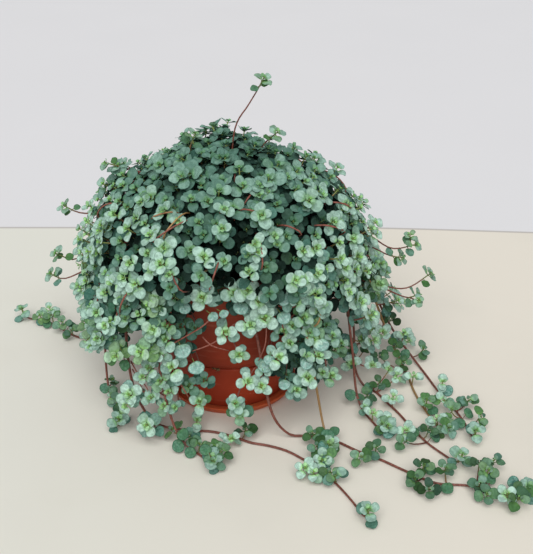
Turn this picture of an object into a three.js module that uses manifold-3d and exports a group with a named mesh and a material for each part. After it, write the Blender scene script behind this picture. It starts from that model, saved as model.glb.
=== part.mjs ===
// A creeping pilea in a round plastic pot that stands in a shallow saucer.
// Millimetres, +Z up. The origin is the centre of the saucer's underside, on the surface it stands on.
// -Y is the front, where the foliage parts and shows the pot.
//
// The plant is a dense crown of short leafy shoots, a ring of stems that hang over the rim round it,
// and long stems that run down to the surface and lie along it. Every stem stands in a hole of its own
// in the soil. Leaves are thin blades that grow straight out of their stem's faces, in opposite pairs,
// and the two pairs at a tip make a cross. They are larger than life, and fewer, where they cover the
// crown and its skirt, and near true size on the stems that lie along the surface.
import * as THREE from "three";
import { mergeVertices } from "three/addons/utils/BufferGeometryUtils.js";
import Module from "manifold-3d";

const wasm = await Module();
wasm.setup();

// ---------------------------------------------------------------- driving dimensions

const FIT_GAP = 0.3; // clearance between pieces that touch
const ROUND_SIDES = 28; // facets of the pot, saucer and soil

const SAUCER = {
  footRadius: 53,
  lipRadius: 57,
  lipHeight: 6.4,
  lipThickness: 1.7,
  floorHeight: 3,
};

const POT = {
  footRadius: 48.5,
  bandTopRadius: 56,
  bandTopHeight: 45, // top of the narrower band that the body swells out above
  waistRadius: 54.4,
  wallTopRadius: 71.4,
  rimBottomHeight: 119,
  rimRadius: 75,
  rimHeight: 131.4,
  wall: 2.3,
};

const SOIL_TOP = 113;
const SOIL_CROWN = 3; // how much higher the soil's middle stands
const SOIL_CROWN_RADIUS = 38;
const HOLE_DEPTH = 12;

const STEM_HALF_WIDTH = 1.2;
const CREST_HEIGHT = 137.8; // where a stem passes over the rim
const STEM_RING_RADIUS = 60; // the ring of holes of the hanging and trailing stems

const LYING_HEIGHT = 2.1; // of the middle of a stem that lies on the surface
const LYING_BELOW = 24; // a stem counts as lying below this height
// How a lying stem's tip turns up: how far on and how far up each of its last points stands
const TIP_UPTURN = [
  [4, 3],
  [6.5, 11],
];

const BLADE_THICKNESS = 1.1;
const PETIOLE = 2;
const TIP_BUD = 2.2;
const LEAF_CURL = 0.12; // how far a leaf's tip bends down, as a share of its length
const LOWER_PAIR_LIFT = THREE.MathUtils.degToRad(8);
const UPPER_PAIR_LIFT = THREE.MathUtils.degToRad(24);
const UPPER_PAIR_SCALE = 0.88;

const CROWN = {
  centre: new THREE.Vector3(-2, 0, 120),
  reach: 112, // from the centre's axis to the tip of a shoot at the side
  rise: 96, // from the centre to the tip of a shoot at the top
  roundness: 2.25, // exponent of the superellipse: 2 is an ellipse
  shoots: 42,
  lowestAngle: 96, // degrees from straight up to the lowest shoots
  shootRoot: 0.6, // how far out from the centre a shoot starts, inside the core
  lowestRoot: 152,
  leafRadius: 12.8,
  stems: 6,
  stemRing: 26,
  stemTop: 160, // inside the core
  stemHalfWidth: 2.2,
};

// The crown's core, a low dome that the shoots stand out of, as [radius, height] pairs
const CORE_BASE = 142;
const CORE_TOP = 202;
const CORE_SIDES = 14;
const CORE_OUTLINE = [
  [77, CORE_BASE],
  [90, 149],
  [93, 160],
  [86, 176],
  [65, 191],
  [33, 200],
];

const HANGING_LEAF_RADIUS = 9.6; // at the tip of a stem that hangs
const FALLING_LEAF_RADIUS = 8.2; // on the side shoots of a stem that hangs or falls
const LYING_LEAF_RADIUS = 5.6; // on a stem that lies on the surface

// Where side shoots stand on a hanging stem, as shares of its length
const SHORT_STEM_SHOOTS = [0.7];
const LONG_STEM_SHOOTS = [0.66, 0.8];
const LONG_STEM_REACH = 100;

const SIDE_SHOOT_LENGTHS = [11, 14, 8.5, 17]; // tried in this order
const SIDE_SHOOT_SPREAD = 0.62; // how far it leans to its stem's side, and on along the stem
const SIDE_SHOOT_ADVANCE = 0.2;

// Stems that hang over the rim: azimuth of the stem in degrees from +X, how far out it hangs,
// the height of its lowest bend, and how far its tip turns up from there.
const HANGING_STEMS = [
  { azimuth: -108, reach: 82, low: 62, rise: 2 },
  { azimuth: -92, reach: 84, low: 92, rise: 4 },
  { azimuth: -68, reach: 84, low: 46, rise: 4 },
  { azimuth: -40, reach: 108, low: 34, rise: 4 },
  { azimuth: 8, reach: 124, low: 74, rise: 12 },
  { azimuth: 50, reach: 118, low: 46, rise: 6 },
  { azimuth: 76, reach: 118, low: 38, rise: 6 },
  { azimuth: 94, reach: 120, low: 58, rise: 8 },
  { azimuth: 130, reach: 120, low: 44, rise: 6 },
  { azimuth: 166, reach: 118, low: 62, rise: 8 },
  { azimuth: -177, reach: 116, low: 48, rise: 4 },
  { azimuth: -151, reach: 114, low: 60, rise: 4 },
  { azimuth: -131, reach: 110, low: 76, rise: 4 },
];

// Stems that run down to the surface and along it. Each has its hole's azimuth, where its side shoots
// stand, as shares of its length, the points that it passes from the rim down (x, y and height), and
// the points where it then lies along the surface (x and y). Its tip turns up from the last one.
const TRAILING_STEMS = [
  {
    azimuth: -80,
    shoots: [0.6, 0.72, 0.84],
    over: [[24, -86, 92], [34, -89, 30], [48, -88, 5]],
    along: [
      [64, -87], [85, -93], [103, -107], [120, -118], [140, -134], [159, -147], [183, -150],
      [204, -158], [218, -162],
    ],
  },
  {
    azimuth: -5,
    shoots: [0.34, 0.62, 0.8],
    over: [[98, -6, 112], [106, -5, 60], [109, -6, 18], [116, -12, 3]],
    along: [[127, -23], [134, -38], [142, -54], [150, -74], [160, -96], [171, -112], [178, -121]],
  },
  {
    azimuth: 22,
    shoots: [0.34, 0.5, 0.84],
    over: [[100, 37, 118], [124, 42, 72], [142, 42, 26], [153, 32, 5]],
    along: [[158, 6], [160, -20], [164, -44], [170, -66], [174, -78]],
  },
  {
    azimuth: 36,
    shoots: [0.38, 0.66, 0.84],
    over: [[94, 66, 116], [126, 72, 62], [150, 60, 18], [166, 32, 4]],
    along: [[175, 4], [181, -20], [190, -46], [196, -72], [198, -88]],
  },
  {
    azimuth: -22,
    shoots: [0.4, 0.62],
    over: [[92, -36, 112], [102, -38, 58], [107, -40, 16], [112, -50, 2.6]],
    along: [[117, -62], [122, -74], [126, -82]],
  },
  {
    azimuth: -56,
    shoots: [0.42],
    over: [[58, -72, 112], [68, -78, 60], [75, -82, 20], [78, -92, 8]],
    along: [[79, -106]],
  },
  {
    azimuth: -141,
    shoots: [0.52, 0.66, 0.8],
    over: [[-78, -64, 108], [-77, -77, 50], [-62, -82, 14], [-40, -80, 3]],
    along: [
      [-14, -81], [4, -88], [18, -96], [32, -100], [47, -107], [62, -120], [75, -134],
      [86, -152], [95, -170], [101, -184],
    ],
  },
  {
    azimuth: 150,
    shoots: [0.36, 0.62, 0.8],
    over: [[-96, 50, 114], [-118, 57, 62], [-132, 63, 16], [-145, 70, 3]],
    along: [[-157, 78], [-169, 89], [-183, 102], [-198, 109], [-207, 111]],
  },
  {
    azimuth: -164,
    shoots: [0.36, 0.7],
    over: [[-98, -27, 114], [-105, -26, 62], [-106, -28, 20], [-102, -38, 4]],
    along: [[-97, -50], [-93, -62], [-91, -72]],
  },
  {
    azimuth: -122,
    shoots: [0.45, 0.72],
    over: [[-54, -82, 104], [-50, -93, 52], [-40, -100, 14], [-29, -106, 3]],
    along: [[-20, -114], [-14, -124]],
  },
  {
    azimuth: 112,
    shoots: [0.4],
    over: [[-39, 100, 112], [-47, 122, 52], [-53, 137, 8]],
    along: [[-61, 151], [-71, 164], [-78, 173]],
  },
  {
    azimuth: 62,
    shoots: [0.4],
    over: [[49, 92, 114], [61, 115, 58], [71, 131, 12]],
    along: [[84, 143], [99, 152], [109, 157]],
  },
];

// Longer shoots that stand out of the crown: where each leaves it, and its bends up to the tip.
const STRAY_SHOOTS = [
  [[6, 4, 190], [10, 2, 232], [17, 0, 252], [30, -2, 272]],
  [[74, 10, 154], [116, 6, 146], [148, 3, 138]],
  [[-74, -4, 166], [-108, -4, 162], [-130, -4, 166]],
  [[-78, 6, 152], [-116, 8, 130], [-138, 8, 124]],
];

const COLOURS = {
  pot: 0x96371f,
  saucer: 0xa03e20,
  soil: 0x2e2119,
  crown: 0x7fa393,
  hanging: 0x8db3a1,
  trailing: 0x6f9a7f,
};

// ---------------------------------------------------------------- small helpers

/** A generator of repeatable draws from 0 up to 1. */
function makeRandom(seed) {
  let state = seed >>> 0;
  return () => {
    state = (state + 0x6d2b79f5) >>> 0;
    let mixed = Math.imul(state ^ (state >>> 15), state | 1);
    mixed ^= mixed + Math.imul(mixed ^ (mixed >>> 7), mixed | 61);
    return ((mixed ^ (mixed >>> 14)) >>> 0) / 4294967296;
  };
}

const point = (x, y, z) => new THREE.Vector3(x, y, z);

/** The point at a distance from the pot's axis, at an azimuth in degrees and a height. */
function polar(radius, azimuth, height) {
  const angle = THREE.MathUtils.degToRad(azimuth);
  return point(radius * Math.cos(angle), radius * Math.sin(angle), height);
}

/** The direction from the pot's axis out to a point, level. */
function outward(place) {
  return point(place.x, place.y, 0).normalize();
}

function toSolid(geometry) {
  const bare = geometry.clone();
  bare.deleteAttribute("normal");
  bare.deleteAttribute("uv");
  const merged = mergeVertices(bare, 1e-4);
  return new wasm.Manifold(
    new wasm.Mesh({
      numProp: 3,
      vertProperties: merged.getAttribute("position").array,
      triVerts: new Uint32Array(merged.index.array),
    }),
  );
}

function toGeometry(solid) {
  const mesh = solid.getMesh();
  const geometry = new THREE.BufferGeometry();
  geometry.setAttribute("position", new THREE.BufferAttribute(mesh.vertProperties, 3));
  geometry.setIndex(new THREE.BufferAttribute(mesh.triVerts, 1));
  geometry.computeVertexNormals();
  return geometry;
}

/** A solid turned about +Z from [radius, height] pairs that start and end on the axis. */
function turned(profile, sides = ROUND_SIDES) {
  const outline = profile.map(([radius, height]) => new THREE.Vector2(radius, height));
  return new THREE.LatheGeometry(outline, sides).rotateX(Math.PI / 2);
}

// ---------------------------------------------------------------- pot, saucer and soil

/** The pot's outer outline above its foot, as [radius, height] pairs. */
function potOutside() {
  const bandTop = POT.bandTopHeight;
  return [
    [POT.footRadius, SAUCER.floorHeight + FIT_GAP + 1.4],
    [POT.bandTopRadius, bandTop - 0.9],
    [POT.bandTopRadius - 0.5, bandTop],
    [POT.waistRadius, bandTop + 0.4],
    [POT.waistRadius + 4.2, bandTop + 3.2],
    [POT.waistRadius + 8, bandTop + 8],
    [POT.waistRadius + 10.6, bandTop + 15.5],
    [POT.waistRadius + 12.4, bandTop + 28],
    [POT.wallTopRadius, POT.rimBottomHeight],
    [POT.rimRadius - 1.2, POT.rimBottomHeight + 0.8],
    [POT.rimRadius, POT.rimHeight - 1.2],
    [POT.rimRadius - 0.9, POT.rimHeight],
  ];
}

/** The pot's inner outline from the rim down to its floor, set in from the outer one. */
function potInside(inset) {
  const bandTop = POT.bandTopHeight;
  return [
    [POT.wallTopRadius - inset + 1, POT.rimHeight],
    [POT.wallTopRadius - inset, POT.rimBottomHeight],
    [POT.waistRadius + 12.2 - inset, bandTop + 28],
    [POT.waistRadius + 7.4 - inset, bandTop + 8 + inset * 0.6],
    [POT.waistRadius - inset, bandTop + inset * 0.8],
    [POT.footRadius + 0.2 - inset, SAUCER.floorHeight + FIT_GAP + inset + 1],
  ];
}

function makePot() {
  const foot = SAUCER.floorHeight + FIT_GAP;
  return turned([
    [0, foot],
    [POT.footRadius - 1.5, foot],
    ...potOutside(),
    ...potInside(POT.wall),
    [0, foot + POT.wall + 1],
  ]);
}

function makeSaucer() {
  return turned([
    [0, 0],
    [SAUCER.footRadius, 0],
    [SAUCER.lipRadius - 0.4, SAUCER.lipHeight - 1.2],
    [SAUCER.lipRadius, SAUCER.lipHeight],
    [SAUCER.lipRadius - SAUCER.lipThickness, SAUCER.lipHeight],
    [SAUCER.footRadius - 1, SAUCER.floorHeight],
    [0, SAUCER.floorHeight],
  ]);
}

/** A square peg along the first stretch of a stem, a little wider than the stem, that cuts its hole. */
function holeCutter(foot, halfWidth) {
  const half = halfWidth + FIT_GAP;
  const height = HOLE_DEPTH + SOIL_CROWN + 4;
  const peg = new THREE.BoxGeometry(2 * half, 2 * half, height);
  peg.translate(0, 0, foot.z - FIT_GAP + height / 2);
  peg.rotateZ(Math.atan2(foot.y, foot.x));
  return toSolid(peg.translate(foot.x, foot.y, 0));
}

function makeSoil(feet) {
  const inside = potInside(POT.wall + FIT_GAP);
  const [, wallTop, swell, shoulder, waist, floor] = inside;
  const level = (SOIL_TOP - swell[1]) / (wallTop[1] - swell[1]);
  let soil = toSolid(
    turned([
      [0, floor[1]],
      floor,
      waist,
      shoulder,
      swell,
      [THREE.MathUtils.lerp(swell[0], wallTop[0], level), SOIL_TOP],
      [SOIL_CROWN_RADIUS, SOIL_TOP + SOIL_CROWN],
      [0, SOIL_TOP + SOIL_CROWN],
    ]),
  );
  for (const { foot, halfWidth } of feet) soil = soil.subtract(holeCutter(foot, halfWidth));
  return toGeometry(soil);
}

// ---------------------------------------------------------------- stems and leaves

/** The outline of a leaf's blade beyond its base, as angles from its tip's direction, right to left. */
const OUTLINE_ANGLES = [-128, -64, 0, 64, 128].map(THREE.MathUtils.degToRad);

/** Where the four leaves of a tip's two pairs lie: the frame of each blade and its radius. */
function crossOfLeaves(tip, radius) {
  const { end, along, side, front } = tip;
  const faces = [front, side.clone().negate(), front.clone().negate(), side];
  return faces.map((face, index) => {
    const upper = index % 2 === 0;
    const lift = upper ? UPPER_PAIR_LIFT : LOWER_PAIR_LIFT;
    const base = end
      .clone()
      .addScaledVector(along, BLADE_THICKNESS * (upper ? 1.5 : 0.5))
      .addScaledVector(face, tip.halfWidth);
    const reach = face.clone().multiplyScalar(Math.cos(lift)).addScaledVector(along, Math.sin(lift));
    const normal = along.clone().multiplyScalar(Math.cos(lift)).addScaledVector(face, -Math.sin(lift));
    const size = radius * (upper ? UPPER_PAIR_SCALE : 1);
    return { base, reach, normal, across: normal.clone().cross(reach), size, face: index };
  });
}

/** A point of a blade, at a distance along it and to its side, on its middle surface. */
function onBlade(leaf, along, aside) {
  const length = PETIOLE + 2 * leaf.size;
  const sag = -LEAF_CURL * length * (along / length) ** 2;
  return leaf.base
    .clone()
    .addScaledVector(leaf.reach, along)
    .addScaledVector(leaf.across, aside)
    .addScaledVector(leaf.normal, sag);
}

/** A closed mesh of one stem that grows ring by ring from its root to its tip. */
class StemMesh {
  constructor() {
    this.places = [];
    this.corners = [];
  }

  vertex(place) {
    this.places.push(place.x, place.y, place.z);
    return this.places.length / 3 - 1;
  }

  triangle(a, b, c) {
    this.corners.push(a, b, c);
  }

  quad(a, b, c, d) {
    this.triangle(a, b, c);
    this.triangle(a, c, d);
  }

  /** Four corners round a point of the stem, counter-clockwise seen from the tip. */
  ring({ place, side, front, halfWidth }) {
    return [
      [1, 1],
      [-1, 1],
      [-1, -1],
      [1, -1],
    ].map(([s, f]) =>
      this.vertex(
        place
          .clone()
          .addScaledVector(side, s * halfWidth)
          .addScaledVector(front, f * halfWidth),
      ),
    );
  }

  /** The four sides between two rings, without those that leaves grow from. */
  wall(lower, upper, open = []) {
    for (let i = 0; i < 4; i++) {
      const next = (i + 1) % 4;
      if (!open.includes(i)) this.quad(lower[i], lower[next], upper[next], upper[i]);
    }
  }

  /** A blade on one side between two rings. Both of its faces are split into triangles alike. */
  leaf(lower, upper, leaf) {
    const next = (leaf.face + 1) % 4;
    const rim = OUTLINE_ANGLES.map((angle) =>
      onBlade(leaf, PETIOLE + leaf.size * (1 + Math.cos(angle)), leaf.size * Math.sin(angle)),
    );
    const half = leaf.normal.clone().multiplyScalar(BLADE_THICKNESS / 2);
    const above = rim.map((place) => this.vertex(place.clone().add(half)));
    const below = rim.map((place) => this.vertex(place.clone().sub(half)));
    const top = [upper[leaf.face], ...above, upper[next]];
    const bottom = [lower[leaf.face], ...below, lower[next]];
    const last = top.length - 1;
    for (let i = 0; i + 1 < last - i; i++) {
      this.triangle(top[i], top[i + 1], top[last - i]);
      this.triangle(bottom[i], bottom[last - i], bottom[i + 1]);
      if (i + 1 === last - i - 1) continue;
      this.triangle(top[i + 1], top[last - i - 1], top[last - i]);
      this.triangle(bottom[i + 1], bottom[last - i], bottom[last - i - 1]);
    }
    for (let i = 0; i < last; i++) this.quad(bottom[i], bottom[i + 1], top[i + 1], top[i]);
  }

  solid() {
    return new wasm.Manifold(
      new wasm.Mesh({
        numProp: 3,
        vertProperties: new Float32Array(this.places),
        triVerts: new Uint32Array(this.corners),
      }),
    );
  }
}

/** The places of a stem's rings: one at each point of its route, and one more before each bend. */
function ringPlaces(points, bends = []) {
  const curve = new THREE.CatmullRomCurve3(points, false, "catmullrom", 0.5);
  const last = points.length - 1;
  return points.flatMap((_, i) => {
    const here = curve.getPoint(i / last);
    return bends.includes(i) ? [curve.getPoint((i - 0.5) / last), here] : [here];
  });
}

/** Frames at a stem's ring places, each turned as little as can be from the one before. */
function framesAt(places, halfWidth, turn = 0) {
  let side = null;
  return places.map((place, i) => {
    const before = places[Math.max(i - 1, 0)];
    const after = places[Math.min(i + 1, places.length - 1)];
    const along = after.clone().sub(before).normalize();
    if (!side) {
      const level = point(-place.y, place.x, 0);
      side = level.lengthSq() > 1 ? level.normalize() : point(1, 0, 0);
      side.addScaledVector(along, -side.dot(along)).normalize().applyAxisAngle(along, turn);
    }
    side = side.clone().addScaledVector(along, -side.dot(along)).normalize();
    return { place, along, side, front: along.clone().cross(side), halfWidth };
  });
}

/** What a stem's end is like: its last place and frame. */
function tipOf(frames) {
  const { place, along, side, front, halfWidth } = frames.at(-1);
  return { end: place, along, side, front, halfWidth };
}

/** A stem through its frames, with a cross of leaves and a bud at the tip. */
function growStem(frames, leaves) {
  const mesh = new StemMesh();
  const rings = frames.map((frame) => mesh.ring(frame));
  mesh.quad(rings[0][3], rings[0][2], rings[0][1], rings[0][0]);
  for (let i = 1; i < rings.length; i++) mesh.wall(rings[i - 1], rings[i]);
  const last = frames.at(-1);
  const stepUp = (count) => last.place.clone().addScaledVector(last.along, count * BLADE_THICKNESS);
  const first = rings.at(-1);
  const middle = mesh.ring({ ...last, place: stepUp(1) });
  const third = mesh.ring({ ...last, place: stepUp(2) });
  const lowerPair = leaves.filter((leaf) => leaf.face % 2 === 1);
  const upperPair = leaves.filter((leaf) => leaf.face % 2 === 0);
  mesh.wall(first, middle, lowerPair.map((leaf) => leaf.face));
  mesh.wall(middle, third, upperPair.map((leaf) => leaf.face));
  for (const leaf of lowerPair) mesh.leaf(first, middle, leaf);
  for (const leaf of upperPair) mesh.leaf(middle, third, leaf);
  const bud = mesh.vertex(stepUp(2).addScaledVector(last.along, TIP_BUD));
  for (let i = 0; i < 4; i++) mesh.triangle(third[i], third[(i + 1) % 4], bud);
  return mesh.solid();
}

// ---------------------------------------------------------------- keeping stems and leaves apart

const BLADE_CLEARANCE = 1.7; // between the middle surfaces of two blades
const STEM_CLEARANCE = 1.2; // between a stem and a blade

/** Remembers what has been placed, and says whether a new blade would cross any of it. */
class Thicket {
  constructor() {
    this.stems = [];
    this.leaves = [];
  }

  addStem(frames, key) {
    const radius = frames[0].halfWidth * 1.3;
    for (const place of placesAlong(frames)) this.stems.push({ place, radius, key });
  }

  addLeaves(leaves) {
    for (const leaf of leaves) this.leaves.push({ ...leaf, samples: this.samples(leaf) });
  }

  samples(leaf) {
    const found = [];
    for (const share of [0.34, 0.7, 1])
      for (let k = 0; k < 12; k++) {
        const angle = (k * Math.PI) / 6;
        const along = PETIOLE + leaf.size * (1 + share * Math.cos(angle));
        found.push(onBlade(leaf, along, share * leaf.size * Math.sin(angle)));
      }
    return found;
  }

  /** Whether a place lies within a clearance of a leaf's blade. */
  near(leaf, place, clearance) {
    const offset = place.clone().sub(leaf.base);
    const along = offset.dot(leaf.reach);
    const aside = offset.dot(leaf.across);
    const middle = onBlade(leaf, THREE.MathUtils.clamp(along, 0, PETIOLE + 2 * leaf.size), aside);
    const height = place.clone().sub(middle).dot(leaf.normal);
    if (Math.abs(height) > clearance) return false;
    return Math.hypot(along - PETIOLE - leaf.size, aside) < leaf.size + clearance;
  }

  clear(leaf, ownStem) {
    const samples = this.samples(leaf);
    if (samples.some((place) => hitsFixedThings(place))) return false;
    const middle = onBlade(leaf, PETIOLE + leaf.size, 0);
    for (const stem of this.stems) {
      if (stem.key === ownStem || stem.place.distanceTo(middle) > leaf.size + 6) continue;
      if (this.near(leaf, stem.place, stem.radius + STEM_CLEARANCE)) return false;
    }
    for (const other of this.leaves) {
      const apart = onBlade(other, PETIOLE + other.size, 0).distanceTo(middle);
      if (apart > leaf.size + other.size + 3) continue;
      if (samples.some((place) => this.near(other, place, BLADE_CLEARANCE))) return false;
      if (other.samples.some((place) => this.near(leaf, place, BLADE_CLEARANCE))) return false;
    }
    return true;
  }

  /** Whether a new stalk keeps clear of every other stem and blade, apart from the stem it grows on. */
  clearStalk(frames, ownStem) {
    const radius = frames[0].halfWidth * 1.3;
    const room = radius + STEM_CLEARANCE;
    const offStem = (place, stem) =>
      stem.key === ownStem || stem.place.distanceTo(place) > stem.radius + room;
    return placesAlong(frames).every(
      (place) =>
        this.stems.every((stem) => offStem(place, stem)) &&
        this.leaves.every((leaf) => !this.near(leaf, place, room)),
    );
  }
}

/** Places about 2 mm apart along a stem, from just after its root to its tip. */
function placesAlong(frames) {
  return frames.slice(1).flatMap(({ place }, i) => {
    const from = frames[i].place;
    const count = Math.max(1, Math.ceil(from.distanceTo(place) / 2));
    return Array.from({ length: count }, (_, k) => from.clone().lerp(place, (k + 1) / count));
  });
}

/** Whether a place is in or too near the pot, the crown's core or the surface. */
function hitsFixedThings(place) {
  const radius = Math.hypot(place.x, place.y);
  if (place.z < 1) return true;
  if (place.z < POT.rimHeight + 1.5 && radius < potRadiusAt(place.z) + 2) return true;
  return insideCore(place, 2);
}

function radiusOnOutline(outline, height) {
  for (let i = 1; i < outline.length; i++) {
    const [lowRadius, low] = outline[i - 1];
    const [highRadius, high] = outline[i];
    if (height >= low && height <= high && high > low)
      return THREE.MathUtils.mapLinear(height, low, high, lowRadius, highRadius);
  }
  return height < outline[0][1] ? SAUCER.lipRadius : 0;
}

function potRadiusAt(height) {
  return radiusOnOutline(potOutside(), height);
}

function insideCore(place, clearance) {
  if (place.z < CORE_BASE - clearance || place.z > CORE_TOP + clearance) return false;
  const radius = Math.hypot(place.x - CROWN.centre.x, place.y - CROWN.centre.y);
  const height = THREE.MathUtils.clamp(place.z, CORE_BASE, CORE_OUTLINE.at(-1)[1]);
  return radius < radiusOnOutline(CORE_OUTLINE, height) + clearance;
}

// ---------------------------------------------------------------- the plant

// What is tried, in order, until a tip's leaves are clear of their neighbours
const LEAF_TURNS = [0, 45, 22, 67, 10, 34, 56, 80]; // degrees about the stem
const LEAF_SIZES = [1, 0.88, 0.76, 0.66];
const SHOOT_STRETCHES = [1, 0.95, 1.05, 0.9, 1.1]; // how far out a crown shoot's tip stands

/** The first way to turn a tip's cross of leaves in which all four are clear, or null. */
function clearCross(thicket, frames, radius, ownStem) {
  for (const turn of LEAF_TURNS) {
    const leaves = crossOfLeaves(turnedTip(tipOf(frames), turn), radius);
    if (leaves.every((leaf) => thicket.clear(leaf, ownStem))) return { leaves, turn };
  }
  return null;
}

/** The first result that isn't null of growing something with leaves of each size in turn. */
function largestThatFits(radius, grow) {
  for (const size of LEAF_SIZES) {
    const grown = grow(radius * size);
    if (grown) return grown;
  }
  return null;
}

function turnedTip(tip, degrees) {
  const angle = THREE.MathUtils.degToRad(degrees);
  return {
    ...tip,
    side: tip.side.clone().applyAxisAngle(tip.along, angle),
    front: tip.front.clone().applyAxisAngle(tip.along, angle),
  };
}

/** The frames turned about the stem, evenly from none at the root to the whole turn at the tip. */
function twisted(frames, degrees) {
  const last = frames.length - 1;
  return frames.map((frame, i) => {
    const angle = THREE.MathUtils.degToRad((degrees * i) / last);
    return {
      ...frame,
      side: frame.side.clone().applyAxisAngle(frame.along, angle),
      front: frame.front.clone().applyAxisAngle(frame.along, angle),
    };
  });
}

/** The points of a stem's route, counted from its foot, that it bends most before. */
const RIM_BENDS = [3, 4];

/** A stem's foot in the soil, and the points that take it up and over the rim. */
function overTheRim(azimuth) {
  return [
    polar(STEM_RING_RADIUS, azimuth, SOIL_TOP - HOLE_DEPTH),
    polar(STEM_RING_RADIUS, azimuth, SOIL_TOP + 3),
    polar(STEM_RING_RADIUS + 4, azimuth, SOIL_TOP + 18),
    polar(POT.rimRadius - 1, azimuth, CREST_HEIGHT),
  ];
}

/** A hanging stem's route: over the rim, out, down, and up again a little at its tip. */
function hangingRoute({ azimuth, reach, low, rise }) {
  const shoulder = CREST_HEIGHT - 4;
  return [
    ...overTheRim(azimuth),
    polar(Math.max(POT.rimRadius + 5, reach - 38), azimuth, shoulder),
    polar(reach - 6, azimuth, THREE.MathUtils.lerp(shoulder, low, 0.36)),
    polar(reach, azimuth, low + 8),
    polar(reach + 6, azimuth, low),
    polar(reach + 15, azimuth, low + rise),
  ];
}

/** A trailing stem's route: over the rim, down to the surface, along it, and up at its tip. */
function trailingRoute({ azimuth, over, along }) {
  const falling = over.map((place) => point(...place));
  const lying = along.map(([x, y]) => point(x, y, LYING_HEIGHT));
  const last = lying.at(-1);
  const before = lying.length > 1 ? lying.at(-2) : falling.at(-1);
  const onward = last.clone().sub(before).setZ(0).normalize();
  const upturn = TIP_UPTURN.map(([ahead, up]) =>
    last.clone().addScaledVector(onward, ahead).add(point(0, 0, up)),
  );
  return [...overTheRim(azimuth), ...falling, ...lying, ...upturn];
}

/** A side shoot's root and tip: it leaves its stem outward, or upward where the stem lies down. */
function sideRoute(frame, hand, length) {
  const away = frame.place.z > LYING_BELOW ? outward(frame.place) : point(0, 0, 1);
  const aside = frame.along.clone().cross(away).normalize();
  const lean = away
    .clone()
    .addScaledVector(aside, SIDE_SHOOT_SPREAD * hand)
    .addScaledVector(frame.along, SIDE_SHOOT_ADVANCE)
    .normalize();
  return [frame.place.clone(), frame.place.clone().addScaledVector(lean, length)];
}

/** The radius of the leaves at a place of a hanging or trailing stem. */
function leafRadiusAt(place, atTip) {
  if (place.z < LYING_BELOW) return LYING_LEAF_RADIUS;
  return atTip ? HANGING_LEAF_RADIUS : FALLING_LEAF_RADIUS;
}

/** A side shoot on a stem, to the first side and of the first length that is clear, or null. */
function growSideShoot(thicket, stemName, root, hands, radius) {
  for (const hand of hands)
    for (const length of SIDE_SHOOT_LENGTHS) {
      const frames = framesAt(sideRoute(root, hand, length), STEM_HALF_WIDTH * 0.8);
      const cross = clearCross(thicket, frames, radius, null);
      if (!cross || !thicket.clearStalk(frames, stemName)) continue;
      thicket.addLeaves(cross.leaves);
      thicket.addStem(frames, `${stemName}_side`);
      return growStem(twisted(frames, cross.turn), cross.leaves);
    }
  return null;
}

/** One stem and its side shoots, fused. */
function leafyStem(thicket, { name, frames, shoots }, random) {
  const varied = (radius) => radius * (0.94 + 0.12 * random());
  const cross = largestThatFits(varied(leafRadiusAt(frames.at(-1).place, true)), (radius) =>
    clearCross(thicket, frames, radius, name),
  );
  if (!cross) throw new Error(`${name} has no room for the leaves at its tip`);
  thicket.addLeaves(cross.leaves);
  let solid = growStem(twisted(frames, cross.turn), cross.leaves);
  shoots.forEach((share, index) => {
    const root = frames[Math.round(share * (frames.length - 1))];
    const hands = index % 2 ? [1, -1] : [-1, 1];
    const shoot = largestThatFits(varied(leafRadiusAt(root.place, false)), (radius) =>
      growSideShoot(thicket, name, root, hands, radius),
    );
    if (shoot) solid = solid.add(shoot);
  });
  return solid;
}

/** The tip of a crown shoot, in a direction from the crown's centre. */
function crownTip(direction) {
  const level = Math.hypot(direction.x, direction.y);
  const power = CROWN.roundness;
  const size =
    ((level / CROWN.reach) ** power + (Math.abs(direction.z) / CROWN.rise) ** power) ** (-1 / power);
  return CROWN.centre.clone().addScaledVector(direction, size);
}

/** Directions spread evenly over the crown, from straight up to a little below level. */
function crownDirections() {
  const golden = Math.PI * (3 - Math.sqrt(5));
  const lowest = Math.cos(THREE.MathUtils.degToRad(CROWN.lowestAngle));
  return Array.from({ length: CROWN.shoots }, (_, i) => {
    const z = 1 - ((i + 0.5) / CROWN.shoots) * (1 - lowest);
    const level = Math.sqrt(1 - z * z);
    return point(level * Math.cos(i * golden), level * Math.sin(i * golden), z);
  });
}

/** The crown's stems, from their holes up into its core. */
function crownStems() {
  return Array.from({ length: CROWN.stems }, (_, i) => {
    const radius = i === 0 ? 0 : CROWN.stemRing;
    const foot = polar(radius, (360 / (CROWN.stems - 1)) * i, SOIL_TOP - HOLE_DEPTH);
    return { foot, halfWidth: CROWN.stemHalfWidth };
  });
}

/** The crown's core and the stems that carry it, fused. */
function makeCore() {
  const dome = turned([[0, CORE_BASE], ...CORE_OUTLINE, [0, CORE_TOP]], CORE_SIDES);
  let core = toSolid(dome.translate(CROWN.centre.x, CROWN.centre.y, 0));
  for (const { foot, halfWidth } of crownStems()) {
    const height = CROWN.stemTop - foot.z;
    const stem = new THREE.BoxGeometry(2 * halfWidth, 2 * halfWidth, height);
    stem.rotateZ(Math.atan2(foot.y, foot.x));
    core = core.add(toSolid(stem.translate(foot.x, foot.y, foot.z + height / 2)));
  }
  return core;
}

/** A shoot of the crown along some points, or null where it or its leaves would cross another. */
function growCrownShoot(thicket, points, radius, turn) {
  const frames = framesAt(ringPlaces(points), STEM_HALF_WIDTH, turn);
  const cross = clearCross(thicket, frames, radius, "crown");
  if (!cross || !thicket.clearStalk(frames, "crown")) return null;
  thicket.addLeaves(cross.leaves);
  thicket.addStem(frames, "crown_shoot");
  return growStem(twisted(frames, cross.turn), cross.leaves);
}

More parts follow.
